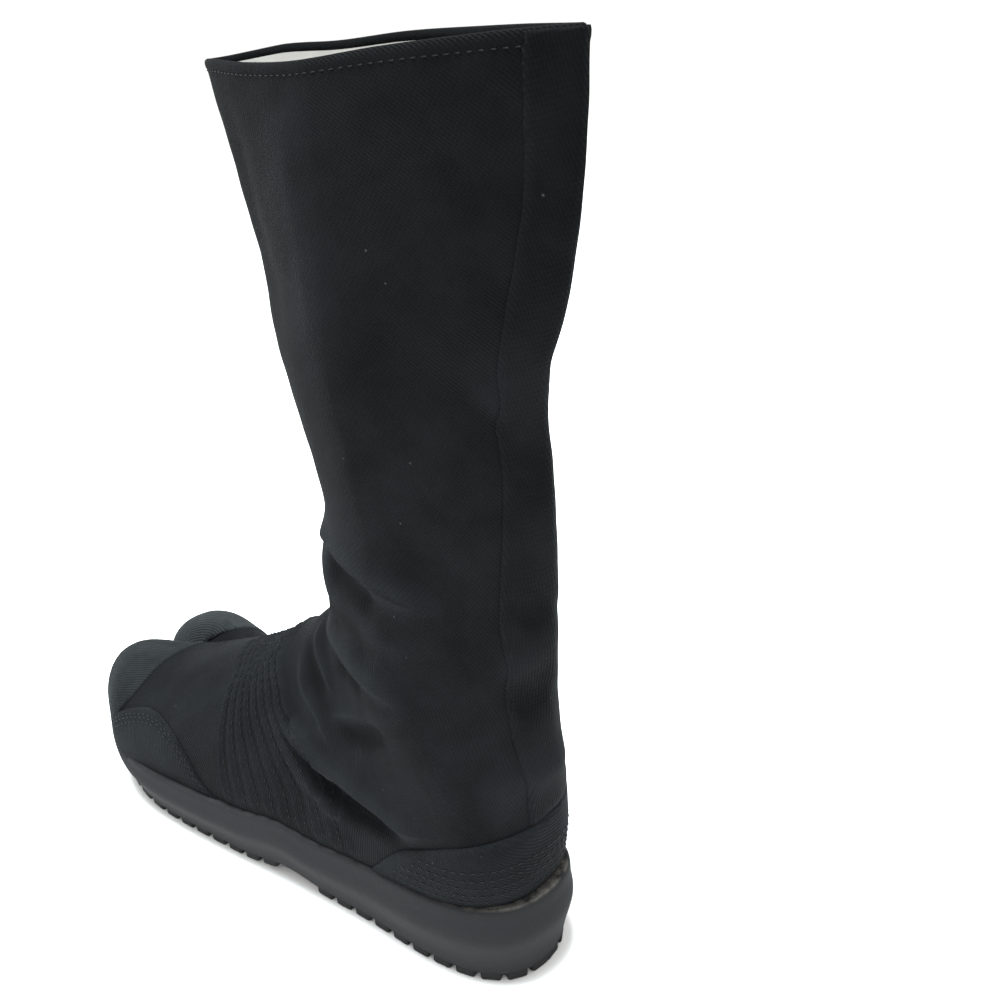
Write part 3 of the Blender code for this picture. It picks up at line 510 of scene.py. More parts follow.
# Folds: height over the cloth in metres, half width in metres, then places x, y, z in millimetres
FOLDS = (
    ("ankle crest, upper", 0.0040, 0.0046,
     ((2, 54, 180), (-12, 48, 179), (-24, 38, 177), (-30, 21, 176), (-31, 7, 173), (-29, -2, 170),
      (-25, -12, 167), (-19, -22, 165))),
    ("hollow under it", -0.0042, 0.0075, ((-14, 47, 168), (-27, 32, 168), (-32, 15, 167), (-31, 2, 163))),
    ("ankle crest, lower", 0.0037, 0.0041,
     ((0, 62, 135), (-12, 56, 134), (-24, 39, 134), (-31, 22, 134), (-33, 9, 132), (-33, 0, 128),
      (-31, -12, 124))),
    ("hollow over it", -0.0022, 0.0070, ((-14, 54, 145), (-26, 36, 144), (-32, 18, 143), (-33, 4, 141))),
    ("hollow under the lower crest", -0.0028, 0.0055, ((-20, 48, 124), (-27, 34, 125), (-32, 16, 125))),
    ("bend crest, front", 0.0026, 0.0028,
     ((-4, 68, 127), (-9, 66, 122), (-15, 61, 117), (-21, 51, 111), (-25, 43, 106))),
    ("bend hollow", -0.0022, 0.0036, ((-6, 72, 119), (-14, 66, 112), (-20, 58, 107), (-25, 49, 102))),
    ("bend crest, low", 0.0026, 0.0030,
     ((-12, 76, 112), (-18, 71, 108), (-22, 63, 100), (-26, 52, 95), (-28, 46, 89), (-29, 38, 82))),
    ("slump crest", 0.0044, 0.0044,
     ((-20, 79, 93), (-27, 73, 83), (-29, 62, 82), (-30, 50, 76), (-31, 33, 73), (-32, 18, 71),
      (-33, 2, 69), (-33, -12, 71), (-30, -24, 74))),
    ("slump hollow", -0.0044, 0.0056,
     ((-28, 70, 74), (-31, 50, 68), (-32, 30, 64), (-33, 12, 63), (-33, -4, 63))),
    ("lower crest", 0.0021, 0.0034,
     ((-22, 84, 93), (-27, 78, 80), (-30, 68, 70), (-32, 54, 61), (-33, 40, 55), (-33, 24, 53))),
    ("heel crease", 0.0020, 0.0030, ((-24, 50, 96), (-28, 26, 106), (-34, 3, 120), (-31, -10, 123))),
    ("under the heel crease", -0.0023, 0.0055, ((-27, 43, 92), (-29, 25, 99), (-34, 3, 111))),
    ("shin crease", 0.0012, 0.0045, ((-32, 20, 147), (-31, 2, 150), (-27, -9, 148))),
    ("heel bulge", 0.0026, 0.0085,
     ((-24, -28, 92), (-14, -37, 92), (-4, -41, 94), (8, -41, 95), (20, -34, 94))),
    ("back hollow, low", -0.0021, 0.0085, ((-9, -34, 122), (2, -37, 126), (12, -38, 131))),
    ("back crest, mid", 0.0018, 0.0070, ((-12, -30, 140), (0, -36, 144), (10, -37, 149))),
    ("back hollow, mid", -0.0020, 0.0080, ((-4, -34, 156), (3, -37, 161), (12, -38, 168))),
    ("calf bow", 0.0026, 0.0130, ((-8, -28, 236), (2, -30, 244), (14, -30, 252))),
    ("front hollow, high", -0.0023, 0.0130, ((-8, 86, 338), (-9, 84, 305), (-13, 71, 275), (-20, 56, 250))),
    ("front fullness, high", 0.0021, 0.0140,
     ((-18, 40, 345), (-22, 40, 310), (-26, 33, 275), (-28, 28, 246))),
    ("collar crease", 0.0009, 0.0022, ((-4, -29, 341), (-2, -35, 339), (0, -38, 336), (-1, -38, 331))),
    ("inner ankle crest", 0.0024, 0.0058, ((24, 46, 170), (33, 32, 172), (37, 14, 170), (36, 0, 165))),
    ("inner ankle hollow", -0.0017, 0.0080, ((26, 45, 160), (34, 28, 161), (38, 10, 158))),
    ("inner lower crest", 0.0026, 0.0054, ((22, 58, 130), (31, 40, 130), (36, 22, 128), (37, 6, 122))),
    ("inner lower hollow", -0.0018, 0.0072, ((24, 56, 120), (32, 38, 119), (36, 20, 116))),
    ("inner slump crest", 0.0034, 0.0048,
     ((24, 76, 94), (31, 58, 82), (33, 38, 74), (33, 16, 70), (32, -6, 72))),
    ("inner slump hollow", -0.0031, 0.0056, ((29, 66, 76), (32, 44, 67), (33, 20, 62), (33, 0, 63))),
)
# How squarely crests and hollows fall off, how fast both start and end, and points per stretch
CREST_FORM = 1.45
HOLLOW_FORM = 2.0
FOLD_TAPER = 3.6
FOLD_STEPS = 4
# Pin tucks: distance down from the ridge, place of the first and of the last one, in metres
TUCK_LINES = ((0.000, 0.133, 0.0945), (0.008, 0.1285, 0.0930), (0.024, 0.1165, 0.0890),
              (0.045, 0.1140, 0.0750), (0.062, 0.1130, 0.0580), (0.082, 0.1110, 0.0400),
              (0.120, 0.1080, 0.0300))
TUCK_STEPS = 8
TUCK_LAST = 8.4
# Lip of a tuck: height, width of its rise and how far in front that starts, fall behind it, unevenness
TUCK_HEIGHT = 0.0017
TUCK_LIP = 0.0009
TUCK_LIP_START = 0.0007
TUCK_SLOPE = 0.0021
TUCK_PUCKER = 0.30
# In numbers of tucks: how far the first and the last reach past their lines, and how fast they end
TUCKS_BEYOND = 0.6
TUCKS_FADE = 3
VAMP_TOP = 0.121
VAMP_FADE = 0.008
# Slack cloth: slow waves on the shaft, small ripples all over, in metres
SLACK_HEIGHT = 0.00055
RIPPLE_HEIGHT = 0.00012
# The cloth is drawn in flat against the last over this height above the sole, and by this depth
SOLE_FADE = 0.007
SOLE_GRIP = 0.0005
DRAWN_IN = 0.0006
# Cloth wears pale on its crests, which also carry a painted highlight, and is painted in shade in its
# hollows, within these limits
WEAR_AND_LIGHT_HEIGHT = 0.0056
DARKEST = -0.34
PALEST = 0.42
LINT_COLOUR = (0.12, 0.125, 0.13, 1)
# Rise of the collar's edge on its two sides by place along the boot, in metres, fading down the shaft
SWAY_PLACES = (-0.055, -0.030, 0.000, 0.035, 0.065, 0.090, 0.118)
SWAY_OUTER = (-0.0022, -0.0018, -0.0020, -0.0034, -0.0022, -0.0002, 0.0010)
SWAY_INNER = (-0.0020, -0.0004, 0.0012, 0.0027, 0.0024, 0.0034, 0.0014)
SWAY_DEPTH = 0.075
# From the first place across, over this width, the outer side's rise turns into the inner side's
SWAY_TURN = (-0.008, 0.032)
SWAY_STEPS = 8
# Turned-in hem of the collar, and the padded lining under it, which ends closed in the toes
HEM_DEPTH = 0.0030
HEM_HEIGHT = 0.0005
HEM_WIDTH = 0.0022
HEM_STEP = 0.0003
HEM_OVERLAP = 0.0005
RIM_ROUND = 0.0009
LINING_PAD = 0.0032
LINING_FADE = 0.030
LINING_ROWS = 46
LINING_END = 22
LINING_MAP = (0.001, 0.4)
# Share of the wall across the rim, and share of the rim's rounding there
RIM_PROFILE = ((0.12, 0.6), (0.5, 1.0), (0.88, 0.6), (1.0, -0.2))
# Mesh of the outer skin: columns round it, and distance between rows by first and last section
SKIN_AROUND = 200
SKIN_PITCH = ((0, 6, 0.0013), (6, 16, 0.00085), (16, 29, 0.0018))
WELD = 0.00002
# Rows are measured at the side, a quarter turn from the ridge, up to just before the next section
SIDE_TURN = 0.25
ROW_END = 0.999
# Rings are measured at this many places, and the tip's ring at this share of the first stretch
RING_STEPS = 721
NEAR_TIP = 0.02
# A row of the grid smaller than this is a point
POINTED = 0.0001


def sections(foot, shaft=()):
    """Section tables in metres, one row of eleven numbers each; a first row is closed to a point."""
    rows = []
    for _, ridge, keel, outer, inner, widest, crown, heel in foot:
        y = along_to_y(keel[0])
        rows.append([ridge[2] * BALL_WIDTH, along_to_y(ridge[0]), ridge[1] * INSTEP_HEIGHT,
                     keel[2] * BALL_WIDTH, y, float(sole_top(y)) + keel[1] * INSTEP_HEIGHT,
                     outer * BALL_WIDTH, inner * BALL_WIDTH, widest, crown, heel])
    rise = BOOT_HEIGHT - INSTEP_HEIGHT
    back_line = along_to_y(0.0)
    for _, front, up, front_x, back, back_up, back_x, girth, lean, widest, crown, heel in shaft:
        height = BOOT_HEIGHT - COLLAR_DROP if up is None else INSTEP_HEIGHT + up * rise
        half = (COLLAR_WIDTH + girth * (ANKLE_WIDTH - COLLAR_WIDTH)) / 2
        middle = lean * BALL_WIDTH
        rows.append([front_x * BALL_WIDTH, back_line + front * COLLAR_DEPTH, height,
                     back_x * BALL_WIDTH, back_line + back * COLLAR_DEPTH, INSTEP_HEIGHT + back_up * rise,
                     middle - half, middle + half, widest, crown, heel])
    rows = np.array(rows)
    rows[0, [2, 5]] = rows[0, [2, 5]].mean()
    return rows


def section_points(table, place, turn):
    """Points of a lofted form at fractional rows and turns; the first span is rounded like a nose."""
    low = np.clip(np.floor(place).astype(int), 0, len(table) - 2)
    part = (place - low)[..., None]
    before = table[np.maximum(low - 1, 0)]
    start = table[low]
    end = table[low + 1]
    after = table[np.minimum(low + 2, len(table) - 1)]
    rows = (start + 0.5 * (end - before) * part + (before - 2.5 * start + 2 * end - 0.5 * after) * part ** 2
            + (1.5 * start - 0.5 * before - 1.5 * end + 0.5 * after) * part ** 3)
    nose = low == 0
    straight = start + (end - start) * part
    rounded = start + (end - start) * part ** 2
    for column in (1, 4):
        rows[..., column] = np.where(nose, rounded[..., column], rows[..., column])
    for column in (0, 2, 3, 5, 6, 7):
        rows[..., column] = np.where(nose, straight[..., column], rows[..., column])
    ridge, keel = rows[..., 0:3], rows[..., 3:6]
    outer, inner, widest, crown, heel = (rows[..., column] for column in range(6, 11))
    rise = np.cos(2 * np.pi * turn)
    reach = np.sin(2 * np.pi * turn)
    form = np.where(rise > 0, crown, heel)
    level = widest + np.sign(rise) * np.abs(rise) ** (2 / form) * np.where(rise > 0, 1 - widest, widest)
    spine = keel + (ridge - keel) * level[..., None]
    middle = keel[..., 0] + (ridge[..., 0] - keel[..., 0]) * widest
    edge = np.where(reach > 0, outer, inner)
    points = spine.copy()
    points[..., 0] += (edge - middle) * np.abs(reach) ** (2 / form)
    return points


def travelled(points):
    """Distance along a line of points at each of them, starting from 0."""
    return np.concatenate(([0], np.cumsum(np.linalg.norm(np.diff(points, axis=0), axis=1))))


def line_distance(points, line):
    """Distance from points to a polyline, and how far along it the nearest place is, 0 to 1."""
    line = np.asarray(line, float)
    marks = travelled(line)
    lengths = np.diff(marks)
    best = np.full(points.shape[:-1], np.inf)
    where = np.zeros(points.shape[:-1])
    for index in range(len(line) - 1):
        run = line[index + 1] - line[index]
        share = np.clip(((points - line[index]) @ run) / (run @ run), 0, 1)
        gap = np.linalg.norm(points - line[index] - share[..., None] * run, axis=-1)
        nearer = gap < best
        best = np.where(nearer, gap, best)
        where = np.where(nearer, (marks[index] + share * lengths[index]) / marks[-1], where)
    return best, where


def tuck_number(points, drop):
    """Number of the pin tuck at each point, with fractions between two tucks."""
    lines = np.array(TUCK_LINES)
    front = np.interp(drop, lines[:, 0], lines[:, 1])
    rear = np.interp(drop, lines[:, 0], lines[:, 2])
    return TUCK_STEPS * (front - points[..., 1]) / (front - rear), (front - rear) / TUCK_STEPS


def cloth_relief(points, drop, below):
    """How far the cloth stands over its plain form: folds, pin tucks, hem and soft unevenness."""
    height = np.zeros(points.shape[:-1])
    for _, rise, half_width, places in FOLDS:
        line = smooth_line(np.array(places) / 1000, FOLD_STEPS)
        gap, where = line_distance(points, line)
        taper = np.clip(np.minimum(where, 1 - where) * FOLD_TAPER, 0, 1)
        taper = taper * taper * (3 - 2 * taper)
        form = CREST_FORM if rise > 0 else HOLLOW_FORM
        height += rise * taper * np.exp(-(gap / half_width) ** form)
    number, spacing = tuck_number(points, drop)
    nearest = np.clip(np.rint(number), 0, math.floor(TUCK_LAST))
    beyond = (number - nearest) * spacing
    lip = np.clip((beyond + TUCK_LIP_START) / TUCK_LIP, 0, 1) * np.exp(-np.clip(beyond, 0, None) / TUCK_SLOPE)
    started = np.clip((number + TUCKS_BEYOND) * TUCKS_FADE, 0, 1)
    unfinished = np.clip((TUCK_LAST + TUCKS_BEYOND - number) * TUCKS_FADE, 0, 1)
    on_vamp = started * unfinished * np.clip((VAMP_TOP - points[..., 2]) / VAMP_FADE, 0, 1)
    pucker = 1 + TUCK_PUCKER * np.sin(drop / 0.00075 + 2.1 * nearest) * np.sin(drop / 0.0031 + nearest)
    height += TUCK_HEIGHT * lip * on_vamp * pucker
    hem = np.clip(1 - np.abs(below - HEM_DEPTH / 2) / HEM_WIDTH, 0, 1)
    height += HEM_HEIGHT * hem
    # Waves of the slack cloth, their lengths in millimetres
    x, y, z = (points[..., axis] * 1000 for axis in range(3))
    loose = np.sin(x / 9.0 + 1.3) * np.sin(y / 13.0 + 0.4 + z / 41.0) * np.sin(z / 17.0 + y / 37.0)
    ripple = np.sin(y / 4.1 + z / 6.3) * np.sin(z / 5.2 - x / 7.7)
    on_shaft = np.clip((z - 55) / 60, 0.15, 1)
    height += SLACK_HEIGHT * loose * on_shaft + RIPPLE_HEIGHT * ripple
    over_sole = np.clip((points[..., 2] - sole_top(points[..., 1]) - SOLE_GRIP) / SOLE_FADE, 0, 1)
    return height * over_sole - DRAWN_IN * (1 - over_sole)


def place_list(pitches, table):
    """Fractional rows spaced by a distance measured at the side of the form."""
    places = []
    for first, last, pitch in pitches:
        for row in range(first, last):
            ends = section_points(table, np.array([row, row + ROW_END]), np.array([SIDE_TURN, SIDE_TURN]))
            steps = max(2, round(np.linalg.norm(ends[1] - ends[0]) / pitch))
            places.extend(row + np.arange(steps) / steps)
    places.append(float(pitches[-1][1]))
    return np.array(places)


def even_turns(table, places, around):
    """Turns that lie at even distances round each section, and the distance from the ridge."""
    fine = np.linspace(0, 1, RING_STEPS)
    turns = np.empty((len(places), around + 1))
    arcs = np.empty((len(places), around + 1))
    share = np.linspace(0, 1, around + 1)
    for index, place in enumerate(places):
        ring = section_points(table, np.full(fine.shape, max(place, NEAR_TIP)), fine)
        arc = travelled(ring)
        turns[index] = np.interp(share * arc[-1], arc, fine)
        arcs[index] = share * arc[-1]
    return turns, arcs


def surface_normals(points):
    """Outward direction at each point of a grid that closes on itself round its columns."""
    around = np.roll(points[:, :-1], -1, axis=1) - np.roll(points[:, :-1], 1, axis=1)
    around = np.concatenate((around, around[:, :1]), axis=1)
    ahead = np.gradient(points, axis=0)
    normal = np.cross(around, ahead)
    size = np.linalg.norm(normal, axis=-1, keepdims=True)
    normal = normal / np.maximum(size, 1e-12)
    for row, inner in ((0, 1), (-1, -2)):
        if np.ptp(points[row], axis=0).max() < POINTED:
            middle = normal[inner].mean(axis=0)
            normal[row] = middle / np.linalg.norm(middle)
    return normal


def skin(table, pitches, around, relief=True):
    """A grid of points over a lofted form with its outward directions and cloth coordinates."""
    places = place_list(pitches, table)
    turns, arcs = even_turns(table, places, around)
    plain = section_points(table, np.repeat(places[:, None], around + 1, axis=1), turns)
    outward = surface_normals(plain)
    side = section_points(table, places, np.full(places.shape, SIDE_TURN))
    path = travelled(side)
    drop = np.minimum(arcs, arcs[:, -1:] - arcs)
    below = np.repeat((path[-1] - path)[:, None], around + 1, axis=1)
    height = cloth_relief(plain, drop, below) if relief else np.zeros(drop.shape)
    points = plain + outward * height[..., None]
    if relief:
        near_rim = np.clip(1 - below / SWAY_DEPTH, 0, 1) ** 2
        inward = np.clip((points[..., 0] - SWAY_TURN[0]) / SWAY_TURN[1], 0, 1)
        curves = [smooth_line(tuple(zip(SWAY_PLACES, rise)), SWAY_STEPS) for rise in (SWAY_OUTER, SWAY_INNER)]
        sway_outer, sway_inner = (np.interp(points[..., 1], curve[:, 0], curve[:, 1]) for curve in curves)
        points[..., 2] += near_rim * (sway_outer + (sway_inner - sway_outer) * inward)
    return {"points": points, "outward": surface_normals(points), "plain_outward": outward,
            "arcs": arcs, "path": path, "drop": drop, "height": height, "below": below}


def wrap_grid(name, points, map_u, map_v):
    """Mesh from a created grid laid on points, with a cloth map in metres; its seam is welded later."""
    rows, columns = points.shape[0] - 1, points.shape[1] - 1
    shape = bmesh.new()
    bmesh.ops.create_grid(shape, x_segments=columns, y_segments=rows, size=1.0, calc_uvs=True)
    shape.loops.layers.uv.verify()
    mesh = bpy.data.meshes.new(name)
    shape.to_mesh(mesh)
    shape.free()
    mesh.uv_layers[0].name = "cloth_map"
    across, down = grid_numbers(mesh, columns, rows)
    mesh.vertices.foreach_set("co", points[down, across].ravel())
    corner = np.empty(len(mesh.loops), np.int32)
    mesh.loops.foreach_get("vertex_index", corner)
    laid = np.column_stack((map_u[down, across][corner], map_v[down, across][corner]))
    mesh.uv_layers[0].data.foreach_set("uv", laid.astype(np.float32).ravel())
    return mesh, across, down


def twill(name, colour, worn_and_lit_colour, direction, pitch=0.00120):
    """Faded black cotton twill: fine slanting ribs, lint, crests paler from wear and painted highlight,
    painted shade in hollows and up the shaft.
    """
    material, shader, add = new_material(
        name, Roughness=0.82, Specular_IOR_Level=0.05, Sheen_Weight=0.012, Sheen_Roughness=0.45,
        Sheen_Tint=(0.80, 0.90, 1.0, 1.0))
    cloth_map = add("ShaderNodeUVMap", {}, uv_map="cloth_map")
    angle = math.radians(direction)
    turn = 2 * math.pi / pitch
    finer = turn * 0.8
    across_ribs = add("ShaderNodeVectorMath",
                      {"0": cloth_map, "1": (math.cos(angle) * turn, math.sin(angle) * turn, 0)},
                      "Value", operation="DOT_PRODUCT")
    along_ribs = add("ShaderNodeVectorMath",
                     {"0": cloth_map, "1": (-math.sin(angle) * finer, math.cos(angle) * finer, 0)},
                     "Value", operation="DOT_PRODUCT")
    wavy = times_plus(add, noise(add, cloth_map, 260.0, 2.0), 2.2, across_ribs)
    ribs = add("ShaderNodeMath", {"0": wavy}, operation="SINE")
    yarns = add("ShaderNodeMath", {"0": along_ribs}, operation="SINE")
    weave = times_plus(add, yarns, 0.30, ribs)
    faded = stretched(add, noise(add, cloth_map, 34.0, 6.0, 0.62), 0.30, 0.75, 0.0, 0.55)
    # Painted light with wear, read from the mesh: paler on fold crests, darker in hollows
    crest = add("ShaderNodeAttribute", {}, "Fac", attribute_name="wear_and_light")
    both = add("ShaderNodeMath", {"0": faded, "1": crest}, operation="ADD", use_clamp=True)
    rib_light = times_plus(add, weave, 0.085, both, use_clamp=True)
    tint = between_colours(add, rib_light, (*colour, 1), (*worn_and_lit_colour, 1))
    # Painted shade: the cloth's colour is darkened up the shaft, from full at 18 cm to 0.56 at 31 cm above
    # the floor, for the light falling off towards the collar
    place = add("ShaderNodeTexCoord", {}, "Object")
    up = add("ShaderNodeSeparateXYZ", {"0": place}, "Z")
    painted_shade_up_shaft = stretched(add, up, 0.180, 0.310, 1.0, 0.56)
    shaded_tint = add("ShaderNodeVectorMath", {"0": tint, "Scale": painted_shade_up_shaft}, operation="SCALE")
    lint = add("ShaderNodeTexVoronoi", {"Vector": cloth_map, "Scale": 70.0, "Randomness": 1.0},
               "Distance", feature="F1")
    fluff = stretched(add, lint, 0.010, 0.036, 0.38, 0.0)
    linty = between_colours(add, fluff, shaded_tint, LINT_COLOUR)
    set_inputs(shader, {"Base Color": linty})
    slub = noise(add, cloth_map, 420.0, 3.0)
    bumped(add, shader, times_plus(add, slub, 2.6, weave), 0.50, 0.00030)
    return material


def wear_and_light_from(height):
    """Paleness of the cloth by how far it stands out: wear and a painted highlight on crests, painted shade
    in hollows.
    """
    return np.clip(height / WEAR_AND_LIGHT_HEIGHT, DARKEST, PALEST)


def build_upper():
    """One closed shell: the outer skin, the rim of the collar and the lining down to the toes."""
    outer = skin(foot_table, SKIN_PITCH, SKIN_AROUND)
    count = len(outer["points"])
    last = int(np.argmax(outer["below"][:, 0] < HEM_DEPTH + HEM_OVERLAP))
    picks = np.unique(np.rint(np.linspace(LINING_END, last, LINING_ROWS)).astype(int))[::-1]
    below = np.clip(outer["below"][picks] / LINING_FADE, 0, 1)[..., None]
    facing = outer["plain_outward"][picks]
    cloth = outer["points"][picks] - facing * outer["height"][picks][..., None] * below
    lining = cloth - facing * (CANVAS_WALL + LINING_PAD * below)
    end = np.repeat(lining[-1].mean(axis=0)[None], lining.shape[1], axis=0)
    lining = np.concatenate((lining, end[None]))
    rim = outer["points"][-1]
    inside = rim - outer["plain_outward"][-1] * CANVAS_WALL
    over = np.stack([rim + (inside - rim) * share + np.array((0, 0, RIM_ROUND * bow))
                     for share, bow in RIM_PROFILE])
    under_hem = lining[:1] - facing[0] * HEM_STEP + np.array((0, 0, HEM_STEP))
    over = np.concatenate((over, under_hem))
    points = np.concatenate((outer["points"], over, lining))
    extra = len(over) + len(lining)
    map_u = np.concatenate((outer["arcs"], np.repeat(outer["arcs"][-1:], extra, axis=0)))
    tail = outer["path"][-1] + np.linspace(*LINING_MAP, extra)
    map_v = np.repeat(np.concatenate((outer["path"], tail))[:, None], points.shape[1], axis=1)
    mesh, across, down = wrap_grid("upper_cloth", points, map_u, map_v)
    # Paleness from wear and painted light: a painted highlight on fold crests, painted shade in hollows, none
    # on the lining
    wear_and_light = np.concatenate((wear_and_light_from(outer["height"]), np.zeros((extra, points.shape[1]))))
    add_float(mesh, "wear_and_light", wear_and_light[down, across])
    first_corner = np.empty(len(mesh.polygons), np.int32)
    mesh.polygons.foreach_get("loop_start", first_corner)
    corner = np.empty(len(mesh.loops), np.int32)
    mesh.loops.foreach_get("vertex_index", corner)
    row = down[corner[first_corner]]
    mesh.polygons.foreach_set("material_index", (row >= count + len(over)).astype(np.int32))
    shape = reopened(mesh)
    bmesh.ops.remove_doubles(shape, verts=shape.verts, dist=WELD)
    bmesh.ops.recalc_face_normals(shape, faces=shape.faces)
    return outer, finish_piece("upper_cloth", shape, [black_twill, lining_cotton], ["upper"])


foot_table = sections(FOOT, SHAFT)
black_twill = twill("black_twill", (0.0037, 0.0039, 0.0042), (0.0130, 0.0141, 0.0157), 52)
lining_cotton = cotton("lining_cotton", (0.86, 0.85, 0.82), 1200.0)
foot_skin, upper = build_upper()


# Tuck and collar stitches
# Black cotton thread, machine sewn: one row behind the lip of each pin tuck but the last, down both sides
# of the vamp, and one row round the collar under its rim. The thread of the tucks is a darker copy, painted
# shade for the shadow behind each tuck's lip.
STITCH_LENGTH = 0.0026
STITCH_GAP = 0.0011
THREAD_THICKNESS = 0.00020
THREAD_WIDTH = 0.00026
THREAD_SINK = 0.00005
TUCKS_SEWN = 8
TUCK_SEAM = 0.45
TUCK_TOP_GAP = 0.006
TUCK_SOLE_GAP = 0.0015
COLLAR_ROW = 0.0042
# Columns of the skin left out beside the ridge, and places that a row has at least one more of
RIDGE_GAP = 3
SHORTEST_ROW = 8


def thread_material(name, dark, pale):
    """Twisted black cotton thread, a little shinier than the cloth."""
    material, shader, add = new_material(name, Roughness=0.55, Specular_IOR_Level=0.15)
    place = add("ShaderNodeTexCoord", {}, "Object")
    tint = between_colours(add, noise(add, place, 900.0, 2.0), (*dark, 1), (*pale, 1))
    set_inputs(shader, {"Base Color": tint})
    return material


def stitch_rows(name, lines, piece, cord):
    """Rows of single stitches, each a flattened bead of thread, laid along lines on a piece of cloth."""
    tree = BVHTree.FromObject(piece, bpy.context.evaluated_depsgraph_get())
    shape = bmesh.new()
    for line in lines:
        line = np.asarray(line, float)
        marks = travelled(line)
        for number in range(int(marks[-1] / (STITCH_LENGTH + STITCH_GAP))):
            first = number * (STITCH_LENGTH + STITCH_GAP)
            ends = (first, first + STITCH_LENGTH)
            start, end = (Vector([np.interp(end, marks, line[:, axis]) for axis in range(3)]) for end in ends)
            hits = [tree.find_nearest(place) for place in (start, end)]
            if any(hit[0] is None for hit in hits):
                continue
            start, end = (hit[0] for hit in hits)
            run = end - start
            if run.length < STITCH_LENGTH / 2:
                continue
            normal = (hits[0][1] + hits[1][1]).normalized()
            side = normal.cross(run).normalized()
            normal = side.cross(run.normalized())
            if normal.dot(hits[0][1]) < 0:
                normal = -normal
            axes = (run / 2, side * THREAD_WIDTH, normal * THREAD_THICKNESS)
            place = Matrix(axes).transposed().to_4x4()
            place.translation = (start + end) / 2 + normal * (THREAD_THICKNESS - THREAD_SINK)
            bmesh.ops.create_icosphere(shape, subdivisions=1, radius=1.0, matrix=place)
    bmesh.ops.recalc_face_normals(shape, faces=shape.faces)
    return finish_piece(name, shape, [cord])


def tuck_stitches():
    """One row behind the lip of each sewn tuck, down both sides of the vamp."""
    points, drop = foot_skin["points"], foot_skin["drop"]
    number, _ = tuck_number(points, drop)
    on_vamp = points[:-1, :, 2] < VAMP_TOP - TUCK_TOP_GAP
    half = SKIN_AROUND // 2
    lines = []
    for columns in (range(RIDGE_GAP, half), range(SKIN_AROUND - RIDGE_GAP, half, -1)):
        for tuck in range(TUCKS_SEWN):
            line = []
            for column in columns:
                miss = number[:, column] - tuck - TUCK_SEAM
                rows = np.nonzero((miss[:-1] <= 0) & (miss[1:] > 0) & on_vamp[:, column])[0]
                if len(rows) == 0:
                    continue
                row = rows[0]
                share = miss[row] / (miss[row] - miss[row + 1])
                place = points[row, column] * (1 - share) + points[row + 1, column] * share
                if place[2] < sole_top(place[1]) + TUCK_SOLE_GAP:
                    break
                line.append(place)
            if len(line) > SHORTEST_ROW:
                lines.append(np.array(line))
    return lines


def collar_stitches():
    """One row round the collar under its rim."""
    row = int(np.argmin(np.abs(foot_skin["below"][:, 0] - COLLAR_ROW)))
    return [foot_skin["points"][row]]


black_thread = thread_material("black_thread", (0.0040, 0.0044, 0.0050), (0.0125, 0.0138, 0.0155))
# Painted shade: a darker copy of the black thread for the stitches in the shadow behind the tucks' lips
tuck_thread_in_shade = thread_material("tuck_thread_in_shade", (0.0028, 0.0030, 0.0034), (0.0085, 0.0093, 0.0104))
stitch_rows("tuck_stitches", tuck_stitches(), upper, tuck_thread_in_shade)
stitch_rows("collar_stitches", collar_stitches(), upper, black_thread)


# Big toe pocket
# The same twill, cut as a second pocket beside the four toes and joined to the vamp along the cleft.
# It is a closed form whose rear end lies inside the vamp. Sections are given as for the foot.
BIG_TOE = (
    ("tip", (1.003, 0.295, 0.300), (1.003, 0.045, 0.300), 0.300, 0.300, 0.50, 2.0, 2.0),
    ("nail", (0.998, 0.345, 0.300), (0.992, -0.070, 0.305), 0.222, 0.392, 0.46, 2.1, 2.4),
    ("front", (0.986, 0.405, 0.296), (0.980, -0.090, 0.305), 0.182, 0.428, 0.42, 2.2, 3.2),
    ("knuckle front", (0.964, 0.455, 0.290), (0.958, -0.095, 0.305), 0.166, 0.456, 0.40, 2.2, 4.0),
    ("knuckle", (0.932, 0.502, 0.285), (0.928, -0.095, 0.305), 0.156, 0.474, 0.39, 2.2, 4.4),
    ("root", (0.890, 0.548, 0.278), (0.888, -0.095, 0.300), 0.140, 0.488, 0.38, 2.2, 4.6),
    ("crotch", (0.842, 0.574, 0.265), (0.840, -0.095, 0.290), 0.115, 0.493, 0.37, 2.2, 4.8),
    ("joint front", (0.790, 0.568, 0.240), (0.790, -0.095, 0.270), 0.085, 0.490, 0.36, 2.2, 5.0),
    ("joint", (0.735, 0.556, 0.215), (0.735, -0.090, 0.250), 0.050, 0.474, 0.36, 2.2, 5.0),
    ("behind the joint", (0.675, 0.530, 0.195), (0.675, -0.070, 0.230), 0.030, 0.425, 0.37, 2.2, 4.6),
    ("sunk", (0.625, 0.510, 0.180), (0.625, -0.010, 0.210), 0.060, 0.350, 0.40, 2.1, 3.6),
    ("end", (0.595, 0.380, 0.190), (0.595, 0.150, 0.190), 0.190, 0.190, 0.50, 2.0, 2.0),
)
TOE_AROUND = 120
TOE_PITCH = 0.0011
TOE_MAP_START = 0.31


